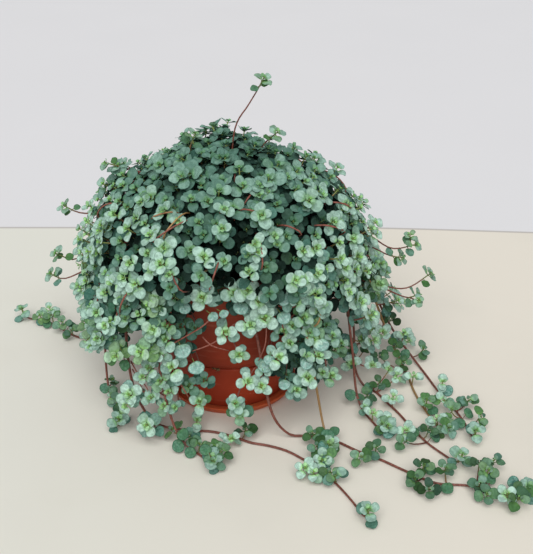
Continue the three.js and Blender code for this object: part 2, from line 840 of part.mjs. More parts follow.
/** The shoot of the crown in one direction, as near as it fits to the crown's outline, or null. */
function growOutwards(thicket, direction, radius, random) {
  for (const stretch of SHOOT_STRETCHES) {
    const length = stretch * (0.98 + 0.04 * random());
    const tip = CROWN.centre.clone().lerp(crownTip(direction), length);
    const root = CROWN.centre.clone().lerp(tip, CROWN.shootRoot);
    root.z = Math.max(root.z, CROWN.lowestRoot);
    const shoot = growCrownShoot(thicket, [root, tip], radius, random());
    if (shoot) return shoot;
  }
  return null;
}

function makeCrown(thicket, random) {
  const strays = STRAY_SHOOTS.map((places) =>
    growCrownShoot(thicket, places.map((place) => point(...place)), FALLING_LEAF_RADIUS, random()),
  );
  const shoots = crownDirections().map((direction) =>
    largestThatFits(CROWN.leafRadius, (radius) => growOutwards(thicket, direction, radius, random)),
  );
  return [...strays, ...shoots]
    .filter((shoot) => shoot !== null)
    .reduce((crown, shoot) => crown.add(shoot), makeCore());
}

// ---------------------------------------------------------------- assembly

function named(name, geometry, colour, roughness) {
  const material = new THREE.MeshStandardMaterial({ color: colour, roughness, metalness: 0 });
  const mesh = new THREE.Mesh(geometry, material);
  mesh.name = name;
  return mesh;
}

function buildPlant() {
  const plant = new THREE.Group();
  const random = makeRandom(2417);
  const thicket = new Thicket();
  const hanging = HANGING_STEMS.map((stem, index) => ({
    name: `hanging_stem_${String(index + 1).padStart(2, "0")}`,
    frames: framesAt(ringPlaces(hangingRoute(stem), RIM_BENDS), STEM_HALF_WIDTH),
    shoots: stem.reach > LONG_STEM_REACH ? LONG_STEM_SHOOTS : SHORT_STEM_SHOOTS,
    colour: COLOURS.hanging,
  }));
  const trailing = TRAILING_STEMS.map((stem, index) => ({
    name: `trailing_stem_${String(index + 1).padStart(2, "0")}`,
    frames: framesAt(ringPlaces(trailingRoute(stem), RIM_BENDS), STEM_HALF_WIDTH),
    shoots: stem.shoots,
    colour: COLOURS.trailing,
  }));
  const stems = [...trailing, ...hanging];
  for (const stem of stems) thicket.addStem(stem.frames, stem.name);

  const feet = [
    ...crownStems(),
    ...stems.map((stem) => ({ foot: stem.frames[0].place, halfWidth: STEM_HALF_WIDTH })),
  ];
  plant.add(named("pot", makePot(), COLOURS.pot, 0.55));
  plant.add(named("saucer", makeSaucer(), COLOURS.saucer, 0.55));
  plant.add(named("soil", makeSoil(feet), COLOURS.soil, 0.95));
  for (const stem of stems) {
    const solid = leafyStem(thicket, stem, random);
    plant.add(named(stem.name, toGeometry(solid), stem.colour, 0.7));
  }
  plant.add(named("crown", toGeometry(makeCrown(thicket, random)), COLOURS.crown, 0.7));
  return plant;
}

export default buildPlant();
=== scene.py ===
"""The looks of a creeping pilea in a terracotta-coloured pot that stands in a shallow saucer.

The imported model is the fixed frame. Its foliage nodes are replaced by finer growth: thin round blades
in opposite pairs on reddish stems, which follow the same dome, the same drops over the rim and the same
runs along the surface. The pot, saucer and compost are turned again with rounded edges.

Sizes are written in millimetres and turned into metres where a mesh is made.
"""

import logging
import math
from collections.abc import Sequence
from dataclasses import dataclass, field, replace
from enum import Enum
from typing import Any

import bpy
import numpy as np
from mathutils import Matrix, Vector, noise


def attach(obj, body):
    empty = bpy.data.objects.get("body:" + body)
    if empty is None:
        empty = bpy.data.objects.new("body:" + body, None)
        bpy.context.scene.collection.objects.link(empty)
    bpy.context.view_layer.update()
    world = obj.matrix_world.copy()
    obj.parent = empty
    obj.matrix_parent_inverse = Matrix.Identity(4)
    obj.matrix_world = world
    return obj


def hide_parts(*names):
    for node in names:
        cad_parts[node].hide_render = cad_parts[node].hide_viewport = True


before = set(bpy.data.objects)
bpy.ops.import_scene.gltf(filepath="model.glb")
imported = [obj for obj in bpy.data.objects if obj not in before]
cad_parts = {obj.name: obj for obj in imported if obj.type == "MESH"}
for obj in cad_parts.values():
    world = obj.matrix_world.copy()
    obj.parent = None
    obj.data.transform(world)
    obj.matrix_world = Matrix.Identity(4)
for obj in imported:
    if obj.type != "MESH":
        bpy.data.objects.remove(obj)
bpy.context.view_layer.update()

log = logging.getLogger("pilea")

MM = 0.001
BODY = "root"
UP = Vector((0.0, 0.0, 1.0))
ASIDE = Vector((1.0, 0.0, 0.0))
LIGHT = Vector((0.03, -0.62, 0.78)).normalized()  # where the blades turn their faces
STEEP = 0.9  # the z from which a direction counts as steep
ON_AXIS = 1e-6  # how near the pot's axis a point counts as on it, in mm
SHARP = 32.0  # the angle from which an edge of a turned piece stays sharp, in degrees
TIP_LEAF = 10.0  # the length of blade that a habit's tip pairs are given for, in mm

Colour = tuple[float, float, float]
Place = tuple[float, float, float]
Pair = tuple[float, float]


class Slot(Enum):
    """The record's material slots."""

    POT = "pot"
    SAUCER = "saucer"
    SOIL = "soil"
    FOLIAGE = "foliage"

# ------------------------------------------------------------------------------- shader helpers


class Field:
    """A number that varies over a surface. Arithmetic on it adds Math nodes to its material."""

    def __init__(self, surface: "Surface", socket: bpy.types.NodeSocket) -> None:
        """Wraps an output socket that carries a number, in the material of a surface."""
        self.surface = surface
        self.socket = socket

    def _math(self, operation: str, *values: Any) -> "Field":
        """Adds one Math node, with numbers or fields as its inputs in order, and gives its result."""
        return self.surface.field("ShaderNodeMath", {"operation": operation}, dict(enumerate(values)))

    def __add__(self, other: Any) -> "Field":
        """self + other."""
        return self._math("ADD", self, other)

    def __radd__(self, other: Any) -> "Field":
        """other + self."""
        return self._math("ADD", other, self)

    def __sub__(self, other: Any) -> "Field":
        """self - other."""
        return self._math("SUBTRACT", self, other)

    def __rsub__(self, other: Any) -> "Field":
        """other - self."""
        return self._math("SUBTRACT", other, self)

    def __mul__(self, other: Any) -> "Field":
        """self * other."""
        return self._math("MULTIPLY", self, other)

    def __rmul__(self, other: Any) -> "Field":
        """other * self."""
        return self._math("MULTIPLY", other, self)

    def __pow__(self, other: Any) -> "Field":
        """self ** other."""
        return self._math("POWER", self, other)

    def __rpow__(self, other: Any) -> "Field":
        """other ** self."""
        return self._math("POWER", other, self)

    def __abs__(self) -> "Field":
        """The field without its sign."""
        return self._math("ABSOLUTE", self)

    def wave(self) -> "Field":
        """The sine of the field."""
        return self._math("SINE", self)

    def ramp(self, low: float, high: float) -> "Field":
        """A smooth rise from 0 at low to 1 at high.

        Args:
            low: Where the rise starts.
            high: Where it ends. It may be less than low, for a fall.

        Returns:
            The eased field.
        """
        settings = {"interpolation_type": "SMOOTHSTEP"}
        inputs = {"Value": self, "From Min": low, "From Max": high}
        return self.surface.field("ShaderNodeMapRange", settings, inputs)


class Surface:
    """A material under construction, with the few kinds of node that the finishes need."""

    def __init__(self, name: str) -> None:
        """Makes an empty material.

        Args:
            name: The material's name.
        """
        self.material = bpy.data.materials.new(name)
        self.material.use_nodes = True
        self.tree = self.material.node_tree
        self.tree.nodes.clear()
        self.output = self.node("ShaderNodeOutputMaterial", {}, {})

    def node(self, kind: str, settings: dict[str, Any], inputs: dict[Any, Any]) -> bpy.types.Node:
        """Adds a node.

        Args:
            kind: The node's type.
            settings: Its own properties, set before its inputs.
            inputs: Values, fields or sockets by the name or the number of each input.

        Returns:
            The new node.
        """
        made = self.tree.nodes.new(kind)
        for name, value in settings.items():
            setattr(made, name, value)
        for name, value in inputs.items():
            if isinstance(value, Field):
                value = value.socket
            if isinstance(value, bpy.types.NodeSocket):
                self.tree.links.new(value, made.inputs[name])
            elif isinstance(value, tuple) and len(value) == 3 and made.inputs[name].type == "RGBA":
                made.inputs[name].default_value = (*value, 1.0)
            else:
                made.inputs[name].default_value = value
        return made

    def field(self, kind: str, settings: dict[str, Any], inputs: dict[Any, Any]) -> Field:
        """Adds a node and wraps its first output that is in use."""
        made = self.node(kind, settings, inputs)
        return Field(self, next(output for output in made.outputs if output.enabled))

    def _parts(self, vector: bpy.types.NodeSocket) -> tuple[Field, Field, Field]:
        """The three numbers of a vector, as fields."""
        apart = self.node("ShaderNodeSeparateXYZ", {}, {"Vector": vector})
        return tuple(Field(self, output) for output in apart.outputs)

    def attribute(self, name: str) -> tuple[Field, Field, Field]:
        """The three numbers of a vector attribute of the mesh, as fields."""
        read = self.node("ShaderNodeAttribute", {"attribute_name": name}, {})
        return self._parts(read.outputs["Vector"])

    def _here(self) -> bpy.types.NodeSocket:
        """The place on the object in metres, as a vector."""
        return self.node("ShaderNodeTexCoord", {}, {}).outputs["Object"]

    def place(self) -> tuple[Field, Field, Field]:
        """The place on the object in metres, as three fields."""
        return self._parts(self._here())

    def noise(self, scale: float, detail: float = 2.0, stretch: Place = (1.0, 1.0, 1.0)) -> Field:
        """Soft noise about 0.5, fixed to the object.

        Args:
            scale: Features per metre.
            detail: How many finer layers it has.
            stretch: How much finer it is along each axis.

        Returns:
            The noise.
        """
        settings = {"operation": "MULTIPLY"}
        scaled = self.node("ShaderNodeVectorMath", settings, {0: self._here(), 1: stretch})
        inputs = {"Vector": scaled.outputs[0], "Scale": scale, "Detail": detail}
        return self.field("ShaderNodeTexNoise", {}, inputs)

    def specks(self, scale: float) -> Field:
        """The distance from the nearest of a cloud of points, of which there are scale per metre."""
        inputs = {"Vector": self._here(), "Scale": scale}
        return self.field("ShaderNodeTexVoronoi", {"feature": "F1"}, inputs)

    def mix(self, share: Any, first: Any, second: Any) -> bpy.types.NodeSocket:
        """A mix of two colours.

        Args:
            share: How much of the second there is, as a number or a field.
            first: A colour or a colour socket.
            second: The same.

        Returns:
            The mixed colour's socket.
        """
        factor, colour_a, colour_b, result = 0, 6, 7, 2
        settings = {"data_type": "RGBA", "clamp_factor": True}
        inputs = {factor: share, colour_a: first, colour_b: second}
        return self.node("ShaderNodeMix", settings, inputs).outputs[result]

    def shade(self, colour: Any, strength: Field) -> bpy.types.NodeSocket:
        """A colour socket made lighter or darker, by what the strength multiplies it by."""
        inputs = {0: colour, "Scale": strength}
        return self.node("ShaderNodeVectorMath", {"operation": "SCALE"}, inputs).outputs[0]

    def bump(self, height: Field, distance: float, strength: float = 1.0) -> bpy.types.NodeSocket:
        """A normal that a height of about 0 to 1 bends, with the distance that 1 stands out in metres."""
        inputs = {"Height": height, "Distance": distance, "Strength": strength}
        return self.node("ShaderNodeBump", {}, inputs).outputs["Normal"]

    def finish(self, **sockets: Any) -> bpy.types.Material:
        """Adds the main shader and puts it on the material.

        Args:
            sockets: The shader's sockets by name, with _ for a space.

        Returns:
            The finished material.
        """
        inputs = {name.replace("_", " "): value for name, value in sockets.items()}
        shader = self.node("ShaderNodeBsdfPrincipled", {}, inputs)
        self.tree.links.new(shader.outputs[0], self.output.inputs["Surface"])
        return self.material


# ------------------------------------------------------------------------------- finishes


@dataclass(frozen=True)
class LeafFinish:
    """Silvery blue-green blades with lime hearts, sunken veins, a darker rim that is partly the leaf's own
    margin and partly painted shade at its edge, and painted shade on the leaves that lie deep in the
    foliage.
    """

    heart: Colour = (0.27, 0.56, 0.12)
    young: Colour = (0.41, 0.60, 0.515)
    grown: Colour = (0.155, 0.355, 0.315)
    fresh: Colour = (0.08, 0.22, 0.05)
    old: Colour = (0.045, 0.155, 0.115)
    bloom: Colour = (0.48, 0.625, 0.60)
    # The darker margin: partly the leaf's own colour, partly painted shade at its edge
    rim: Colour = (0.018, 0.09, 0.06)
    yellowed: Colour = (0.26, 0.38, 0.18)
    # Painted shade: the colours a leaf turns to, the deeper it lies in the foliage
    deep: Colour = (0.028, 0.155, 0.105)
    fresh_shade: Colour = (0.035, 0.115, 0.025)
    shade: Colour = (0.0, 0.007, 0.004)
    # Features per metre
    patch_scale: float = 620.0
    pucker_scale: float = 380.0
    shift_scale: float = 45.0
    # The ages, tints or depths over which a colour gives way to the next
    heart_ages: Pair = (0.0, 0.065)
    young_ages: Pair = (0.15, 0.6)
    grown_ages: Pair = (0.6, 1.0)
    bloom_ages: Pair = (0.1, 0.5)
    vein_ages: Pair = (0.2, 0.5)
    fresh_tints: Pair = (0.45, 0.9)
    yellow_tints: Pair = (0.97, 1.0)
    dim_depths: Pair = (0.0, 0.55)
    dark_depths: Pair = (0.26, 0.93)
    # Where the veins and the rim lie on the blade
    midrib: Pair = (0.06, 0.012)
    ribs: float = 26.0
    rib_lean: float = 17.0
    edge: Pair = (0.86, 0.97)
    relief: float = 0.0005

    def make(self) -> bpy.types.Material:
        """Makes the material, which reads the attributes "blade" and "leaf" of the growth.

        Returns:
            The finished material.
        """
        surface = Surface("pilea_leaf")
        across, along, rim = surface.attribute("blade")
        age, tint, depth = surface.attribute("leaf")
        patches = surface.noise(self.patch_scale, 3.0).ramp(0.4, 0.64)
        puckers = surface.noise(self.pucker_scale).ramp(0.34, 0.66)
        shift = surface.noise(self.shift_scale, 1.0)
        bloomed = age.ramp(*self.bloom_ages)
        freshened = tint.ramp(*self.fresh_tints)

        colour = surface.mix(age.ramp(*self.heart_ages), self.heart, self.young)
        colour = surface.mix(age.ramp(*self.young_ages), colour, self.grown)
        colour = surface.mix(freshened * age.ramp(0.02, 0.25) * 0.9, colour, self.fresh)
        colour = surface.mix(age.ramp(*self.grown_ages) * (0.15 + 0.6 * tint), colour, self.old)
        colour = surface.mix(tint.ramp(*self.yellow_tints) * 0.4, colour, self.yellowed)
        colour = surface.mix(bloomed * patches * (0.62 - 0.58 * tint), colour, self.bloom)
        glow = along.ramp(0.46, 0.04) * (1.0 - bloomed * 0.8)
        colour = surface.mix(glow * 0.75, colour, self.heart)

        middle = abs(across).ramp(*self.midrib) * along.ramp(0.95, 0.6)
        ribs = (along * self.ribs - abs(across) * self.rib_lean).wave().ramp(0.82, 1.0) * 0.5
        veins = (middle + ribs * rim.ramp(0.9, 0.75)) * age.ramp(*self.vein_ages)
        # The rim: partly the leaf's own darker margin, partly painted shade along its edge
        edge = rim.ramp(*self.edge)
        colour = surface.mix(veins * 0.3, colour, self.old)
        colour = surface.mix(edge * (0.4 + 0.4 * age), colour, self.rim)
        colour = surface.shade(colour, 0.62 + 0.32 * shift + 0.4 * puckers)

        # Painted shade: darker and greener the deeper the leaf lies in the foliage
        dim = surface.mix(freshened, self.deep, self.fresh_shade)
        colour = surface.mix(depth.ramp(*self.dim_depths) * 0.75, colour, dim)
        colour = surface.mix(depth.ramp(*self.dark_depths), colour, self.shade)
        height = patches * 0.3 + puckers - veins * 0.6 - edge * 0.5
        return surface.finish(
            Base_Color=colour,
            Roughness=0.5 + 0.16 * patches + 0.3 * depth,
            Specular_IOR_Level=0.2,
            Normal=surface.bump(height, self.relief, 0.6),
        )


@dataclass(frozen=True)
class StemFinish:
    """Reddish-brown stems, pink and green towards their tips, and golden on the drier ones."""

    brown: Colour = (0.19, 0.055, 0.036)
    pink: Colour = (0.34, 0.115, 0.085)
    green: Colour = (0.20, 0.33, 0.08)
    golden: Colour = (0.42, 0.25, 0.095)
    streak_scale: float = 420.0
    golden_tints: Pair = (0.8, 0.92)
    green_ages: Pair = (0.32, 0.08)
    darkening: float = 1.6  # how fast a stem darkens with its depth in the shade
    relief: float = 0.0004

    def make(self) -> bpy.types.Material:
        """Makes the material, which reads the attribute "leaf" of the growth.

        Returns:
            The finished material.
        """
        surface = Surface("pilea_stem")
        age, tint, depth = surface.attribute("leaf")
        streaks = surface.noise(self.streak_scale, 3.0)
        colour = surface.mix(streaks.ramp(0.35, 0.7), self.brown, self.pink)
        colour = surface.mix(tint.ramp(*self.golden_tints), colour, self.golden)
        colour = surface.mix(age.ramp(*self.green_ages) * 0.85, colour, self.green)
        # Painted shade: darker the deeper the stem lies in the foliage
        return surface.finish(
            Base_Color=surface.shade(colour, (1.0 - depth) ** self.darkening),
            Roughness=0.42 + 0.2 * streaks,
            Specular_IOR_Level=0.45,
            Normal=surface.bump(streaks, self.relief, 0.4),
        )


@dataclass(frozen=True)
class TerracottaFinish:
    """Satin moulded plastic in terracotta red, scuffed, chalk-specked, paler towards the top and damp near
    its foot, with painted light that makes the foot lighter.
    """

    name: str
    warm: Colour = (0.32, 0.040, 0.014)
    deep: Colour = (0.20, 0.022, 0.009)
    dust: Colour = (0.40, 0.15, 0.10)
    damp: Colour = (0.15, 0.024, 0.011)
    cloud_scale: float = 14.0
    grain_scale: float = 1400.0
    scuff_scale: float = 55.0
    scuff_stretch: Place = (1.0, 1.0, 7.0)
    chalk_scale: float = 260.0
    # Heights in metres between which it turns paler towards the top, damp near the foot, and lighter
    # towards the foot with painted light
    paler_top: Pair = (0.045, 0.1)
    damp_foot: Pair = (0.02, 0.0)
    painted_light_foot: Pair = (0.06, 0.02)
    relief: float = 0.00025

    def make(self) -> bpy.types.Material:
        """Makes the material, which reads only the place on the object.

        Returns:
            The finished material.
        """
        surface = Surface(self.name)
        height = surface.place()[2]
        clouds = surface.noise(self.cloud_scale, 4.0)
        grain = surface.noise(self.grain_scale)
        scuffs = surface.noise(self.scuff_scale, 5.0, self.scuff_stretch).ramp(0.56, 0.74)
        chalk = surface.specks(self.chalk_scale).ramp(0.16, 0.08) * clouds.ramp(0.5, 0.62)
        colour = surface.mix(clouds.ramp(0.3, 0.7), self.deep, self.warm)
        colour = surface.mix(scuffs * 0.22 + height.ramp(*self.paler_top) * 0.1, colour, self.dust)
        colour = surface.mix(height.ramp(*self.damp_foot) * clouds * 0.5, colour, self.damp)
        colour = surface.mix(chalk * 0.5, colour, self.dust)
        # Painted light: lighter towards the foot, which lightens the whole saucer too
        lightness = 0.9 + 0.2 * grain + height.ramp(*self.painted_light_foot) * 0.32
        return surface.finish(
            Base_Color=surface.shade(colour, lightness),
            Roughness=0.46 + 0.14 * clouds + 0.2 * scuffs,
            Specular_IOR_Level=0.18,
            Normal=surface.bump(grain * 0.5 + scuffs * 0.4, self.relief, 0.35),
        )


@dataclass(frozen=True)
class CompostFinish:
    """Dark damp compost with paler fibres and grit."""

    wet: Colour = (0.018, 0.011, 0.007)
    dry: Colour = (0.075, 0.046, 0.028)
    grit: Colour = (0.32, 0.28, 0.22)
    crumb_scale: float = 240.0
    grit_scale: float = 330.0
    grit_patch_scale: float = 70.0
    relief: float = 0.0025

    def make(self) -> bpy.types.Material:
        """Makes the material, which reads only the place on the object.

        Returns:
            The finished material.
        """
        surface = Surface("compost")
        crumbs = surface.noise(self.crumb_scale, 5.0)
        gritty = surface.noise(self.grit_patch_scale).ramp(0.5, 0.6)
        colour = surface.mix(crumbs.ramp(0.35, 0.7), self.wet, self.dry)
        colour = surface.mix(surface.specks(self.grit_scale).ramp(0.2, 0.1) * gritty, colour, self.grit)
        return surface.finish(
            Base_Color=colour,
            Roughness=0.96 - 0.2 * crumbs,
            Normal=surface.bump(crumbs, self.relief),
        )


@dataclass(frozen=True)
class DryLeafFinish:
    """Curled brown leaf litter."""

    pale: Colour = (0.30, 0.21, 0.09)
    dark: Colour = (0.055, 0.035, 0.018)
    patch_scale: float = 500.0
    relief: float = 0.0006

    def make(self) -> bpy.types.Material:
        """Makes the material, which reads only the place on the object.

        Returns:
            The finished material.
        """
        surface = Surface("dry_leaf")
        patches = surface.noise(self.patch_scale, 4.0)
        return surface.finish(
            Base_Color=surface.mix(patches.ramp(0.35, 0.65), self.dark, self.pale),
            Roughness=0.8 - 0.1 * patches,
            Normal=surface.bump(patches, self.relief),
        )


@dataclass(frozen=True)
class FloorFinish:
    """A pale matt floor, cream near the plant, and greyer beyond a faint joint. Places in metres."""

    cool: Colour = (0.765, 0.765, 0.70)
    warm: Colour = (0.80, 0.755, 0.67)
    far: Colour = (0.765, 0.765, 0.79)
    stain: Colour = (0.70, 0.675, 0.60)
    joint: Colour = (0.42, 0.39, 0.37)
    cool_to_warm: Pair = (-0.3, 0.3)
    cloud_scale: float = 5.0
    joint_at: float = 0.344
    joint_bend: Pair = (0.1, 0.5)  # where to the right the joint comes nearer
    joint_bend_by: float = 0.022
    joint_width: Pair = (0.0035, 0.001)
    joint_edge: float = 0.001

    def make(self) -> bpy.types.Material:
        """Makes the material, which reads only the place on the floor.

        Returns:
            The finished material.
        """
        surface = Surface("pale_floor")
        aside, back, _ = surface.place()
        clouds = surface.noise(self.cloud_scale, 4.0)
        colour = surface.mix(aside.ramp(*self.cool_to_warm), self.cool, self.warm)
        colour = surface.mix(clouds.ramp(0.45, 0.8) * 0.5, colour, self.stain)
        beyond = back - self.joint_at + aside.ramp(*self.joint_bend) * self.joint_bend_by
        colour = surface.mix(beyond.ramp(-self.joint_edge, self.joint_edge), colour, self.far)
        colour = surface.mix(abs(beyond).ramp(*self.joint_width) * 0.7, colour, self.joint)
        return surface.finish(Base_Color=colour, Roughness=0.55 + 0.2 * clouds)


# ------------------------------------------------------------------------------- lines and places


def polar(radius: float, azimuth: float, height: float) -> Vector:
    """A place in mm from its distance to the pot's axis, its degrees from +X and its height."""
    angle = math.radians(azimuth)
    return Vector((radius * math.cos(angle), radius * math.sin(angle), height))


def level_of(vector: Vector) -> Vector:
    """The level direction of a vector, which for a place is the way out from the pot's axis."""
    return Vector((vector.x, vector.y, 0.0)).normalized()


def square_to(axis: Vector, vector: Vector) -> Vector:
    """The part of a vector that is square to a unit vector."""
    return vector - axis * vector.dot(axis)


def side_of(ahead: Vector) -> Vector:
    """A unit vector square to a direction, and level unless the direction is steep."""
    return ahead.cross(UP if abs(ahead.z) < STEEP else ASIDE).normalized()


class Route:
    """A smooth line through points, with places and directions by the distance back from its tip."""

    reading = 1.5  # how far before and behind a place its direction is read, in mm

    def __init__(self, points: Sequence[Vector], spacing: float = 3.0) -> None:
        """Samples a uniform Catmull-Rom curve.

        Args:
            points: The points that it passes, from the root to the tip, in mm.
            spacing: About how far apart its samples are, in mm.
        """
        known = np.array([list(point) for point in points])
        padded = np.vstack([2 * known[0] - known[1], known, 2 * known[-1] - known[-2]])
        samples = [known[:1]]
        for before, start, end, after in zip(padded, padded[1:], padded[2:], padded[3:]):
            count = max(1, math.ceil(np.linalg.norm(end - start) / spacing))
            t = (np.arange(1, count + 1) / count)[:, None]
            bend = 2 * before - 5 * start + 4 * end - after
            twist = 3 * start - before - 3 * end + after
            samples.append(0.5 * (2 * start + (end - before) * t + bend * t**2 + twist * t**3))
        self.places = np.vstack(samples)
        steps = np.linalg.norm(np.diff(self.places, axis=0), axis=1)
        self.marks = np.concatenate([[0.0], np.cumsum(steps)])
        self.length = float(self.marks[-1])

    def place(self, back: float) -> Vector:
        """The place some way back from the tip, in mm."""
        mark = np.clip(self.length - back, 0.0, self.length)
        return Vector([float(np.interp(mark, self.marks, axis)) for axis in self.places.T])

    def forward(self, back: float) -> Vector:
        """The direction towards the tip some way back from it, in mm."""
        behind = self.place(max(back, 0.0) + self.reading)
        return (self.place(max(back - self.reading, 0.0)) - behind).normalized()


# ------------------------------------------------------------------------------- growth


@dataclass
class Blade:
    """One leaf, with its places and lengths in mm."""

    root: Vector  # where its stalk leaves the stem
    base: Vector  # where its blade starts
    along: Vector  # the direction from there to its tip
    face: Vector  # the direction that its upper side faces
    length: float
    cup: float  # how far its outline bends down
    fold: float  # how far its sides are folded up
    age: float  # 0 at the tip of a shoot, 1 for an old leaf
    tint: float  # from 0, blue-green, to 1, yellowish
    depth: float  # 0 at the outside of the foliage, 1 in its shade


@dataclass
class Stem:
    """One length of stem, with its sizes in mm."""

    route: Route
    root_radius: float
    tip_radius: float
    tint: float
    depth: float = 0.0
    age: float = 0.0  # above 0, its tip isn't green
    buried: float = 0.0  # how far in from both its ends it dips into the shade
    buried_depth: float = 0.85  # how deep in the shade those ends are
    ripe: float = 40.0  # how far back from its tip it has its full age
    sides: int = 6
    spacing: float = 5.0

    def looks(self, back: float) -> Place:
        """Age, tint and depth some way back from the tip.

        Args:
            back: How far back, in mm.

        Returns:
            The three numbers.
        """
        dip = 0.0
        if self.buried > 0.0:
            dip = max(0.0, 1.0 - min(back, self.route.length - back) / self.buried)
        depth = self.depth + (self.buried_depth - self.depth) * dip
        return min(back / self.ripe + self.age, 1.0), self.tint, depth


@dataclass(frozen=True)
class BladeShape:
    """A blade of unit length and the stalk that it stands on. It is a little broader than long."""

    inner: int = 8  # points of the inner ring. The outline has twice as many
    inner_share: float = 0.55
    width: float = 1.06
    notch: float = 0.07  # how far the outline is drawn in at the stalk
    notch_width: float = 0.5  # in radians
    # Of each ripple: how often it comes round the outline, how it turns from blade to blade, its size
    lobes: tuple[Place, ...] = ((2, 1, 0.045), (3, -2, 0.035))
    waves: tuple[Place, ...] = ((3, 1, 0.045), (5, 2, 0.03))
    widths: Pair = (0.88, 1.04)
    stalk_sides: int = 3
    stalk_radius: float = 0.22  # of the smallest blade's stalk, in mm
    stalk_gain: float = 0.035  # how much thicker it is for each mm of the blade's length
    stalk_taper: float = 0.6
    stalk_inset: float = 0.1  # how far the stalk runs on under the blade
    stalk_age: float = 0.28  # the stalk's age, as a share of the blade's

    def points(self) -> np.ndarray:
        """Lays out the middle, an inner ring and the outline.

        Returns:
            Across, along and rim share of each point.
        """
        rows = [(0.0, 0.5, 0.0)]
        for count, share in ((self.inner, self.inner_share), (2 * self.inner, 1.0)):
            for i in range(count):
                angle = 2 * math.pi * i / count
                off = (math.pi - angle) / self.notch_width
                reach = 0.5 * share * (1.0 - self.notch * math.exp(-(off**2)))
                across = -self.width * reach * math.sin(angle)
                rows.append((across, 0.5 + reach * math.cos(angle), share))
        return np.array(rows)

    def faces(self) -> list[tuple[int, int, int]]:
        """Joins those points with triangles that face up.

        Returns:
            The corners of each triangle.
        """
        inner, outer = 1, 1 + self.inner
        made = []
        for i in range(self.inner):
            here, following = inner + i, inner + (i + 1) % self.inner
            rim = [outer + (2 * i + step) % (2 * self.inner) for step in range(3)]
            made.append((0, here, following))
            made.append((here, rim[0], rim[1]))
            made.append((here, rim[1], following))
            made.append((following, rim[1], rim[2]))
        return made

    @staticmethod
    def ripple(terms: Sequence[Place], angles: np.ndarray, turn: float) -> np.ndarray:
        """The sum of ripples at angles round a blade with a turn of its own."""
        return sum(size * np.sin(often * angles + fast * turn) for often, fast, size in terms)


def tube_faces(rings: int, sides: int) -> list[tuple[int, ...]]:
    """Joins rings of vertices with quads.

    Args:
        rings: How many rings there are, one after the other.
        sides: How many vertices each has.

    Returns:
        The corners of each quad, counted from the first ring's first vertex.
    """
    faces = []
    for low in range(0, (rings - 1) * sides, sides):
        for i in range(sides):
            following = (i + 1) % sides
            faces.append((low + i, low + following, low + sides + following, low + sides + i))
    return faces


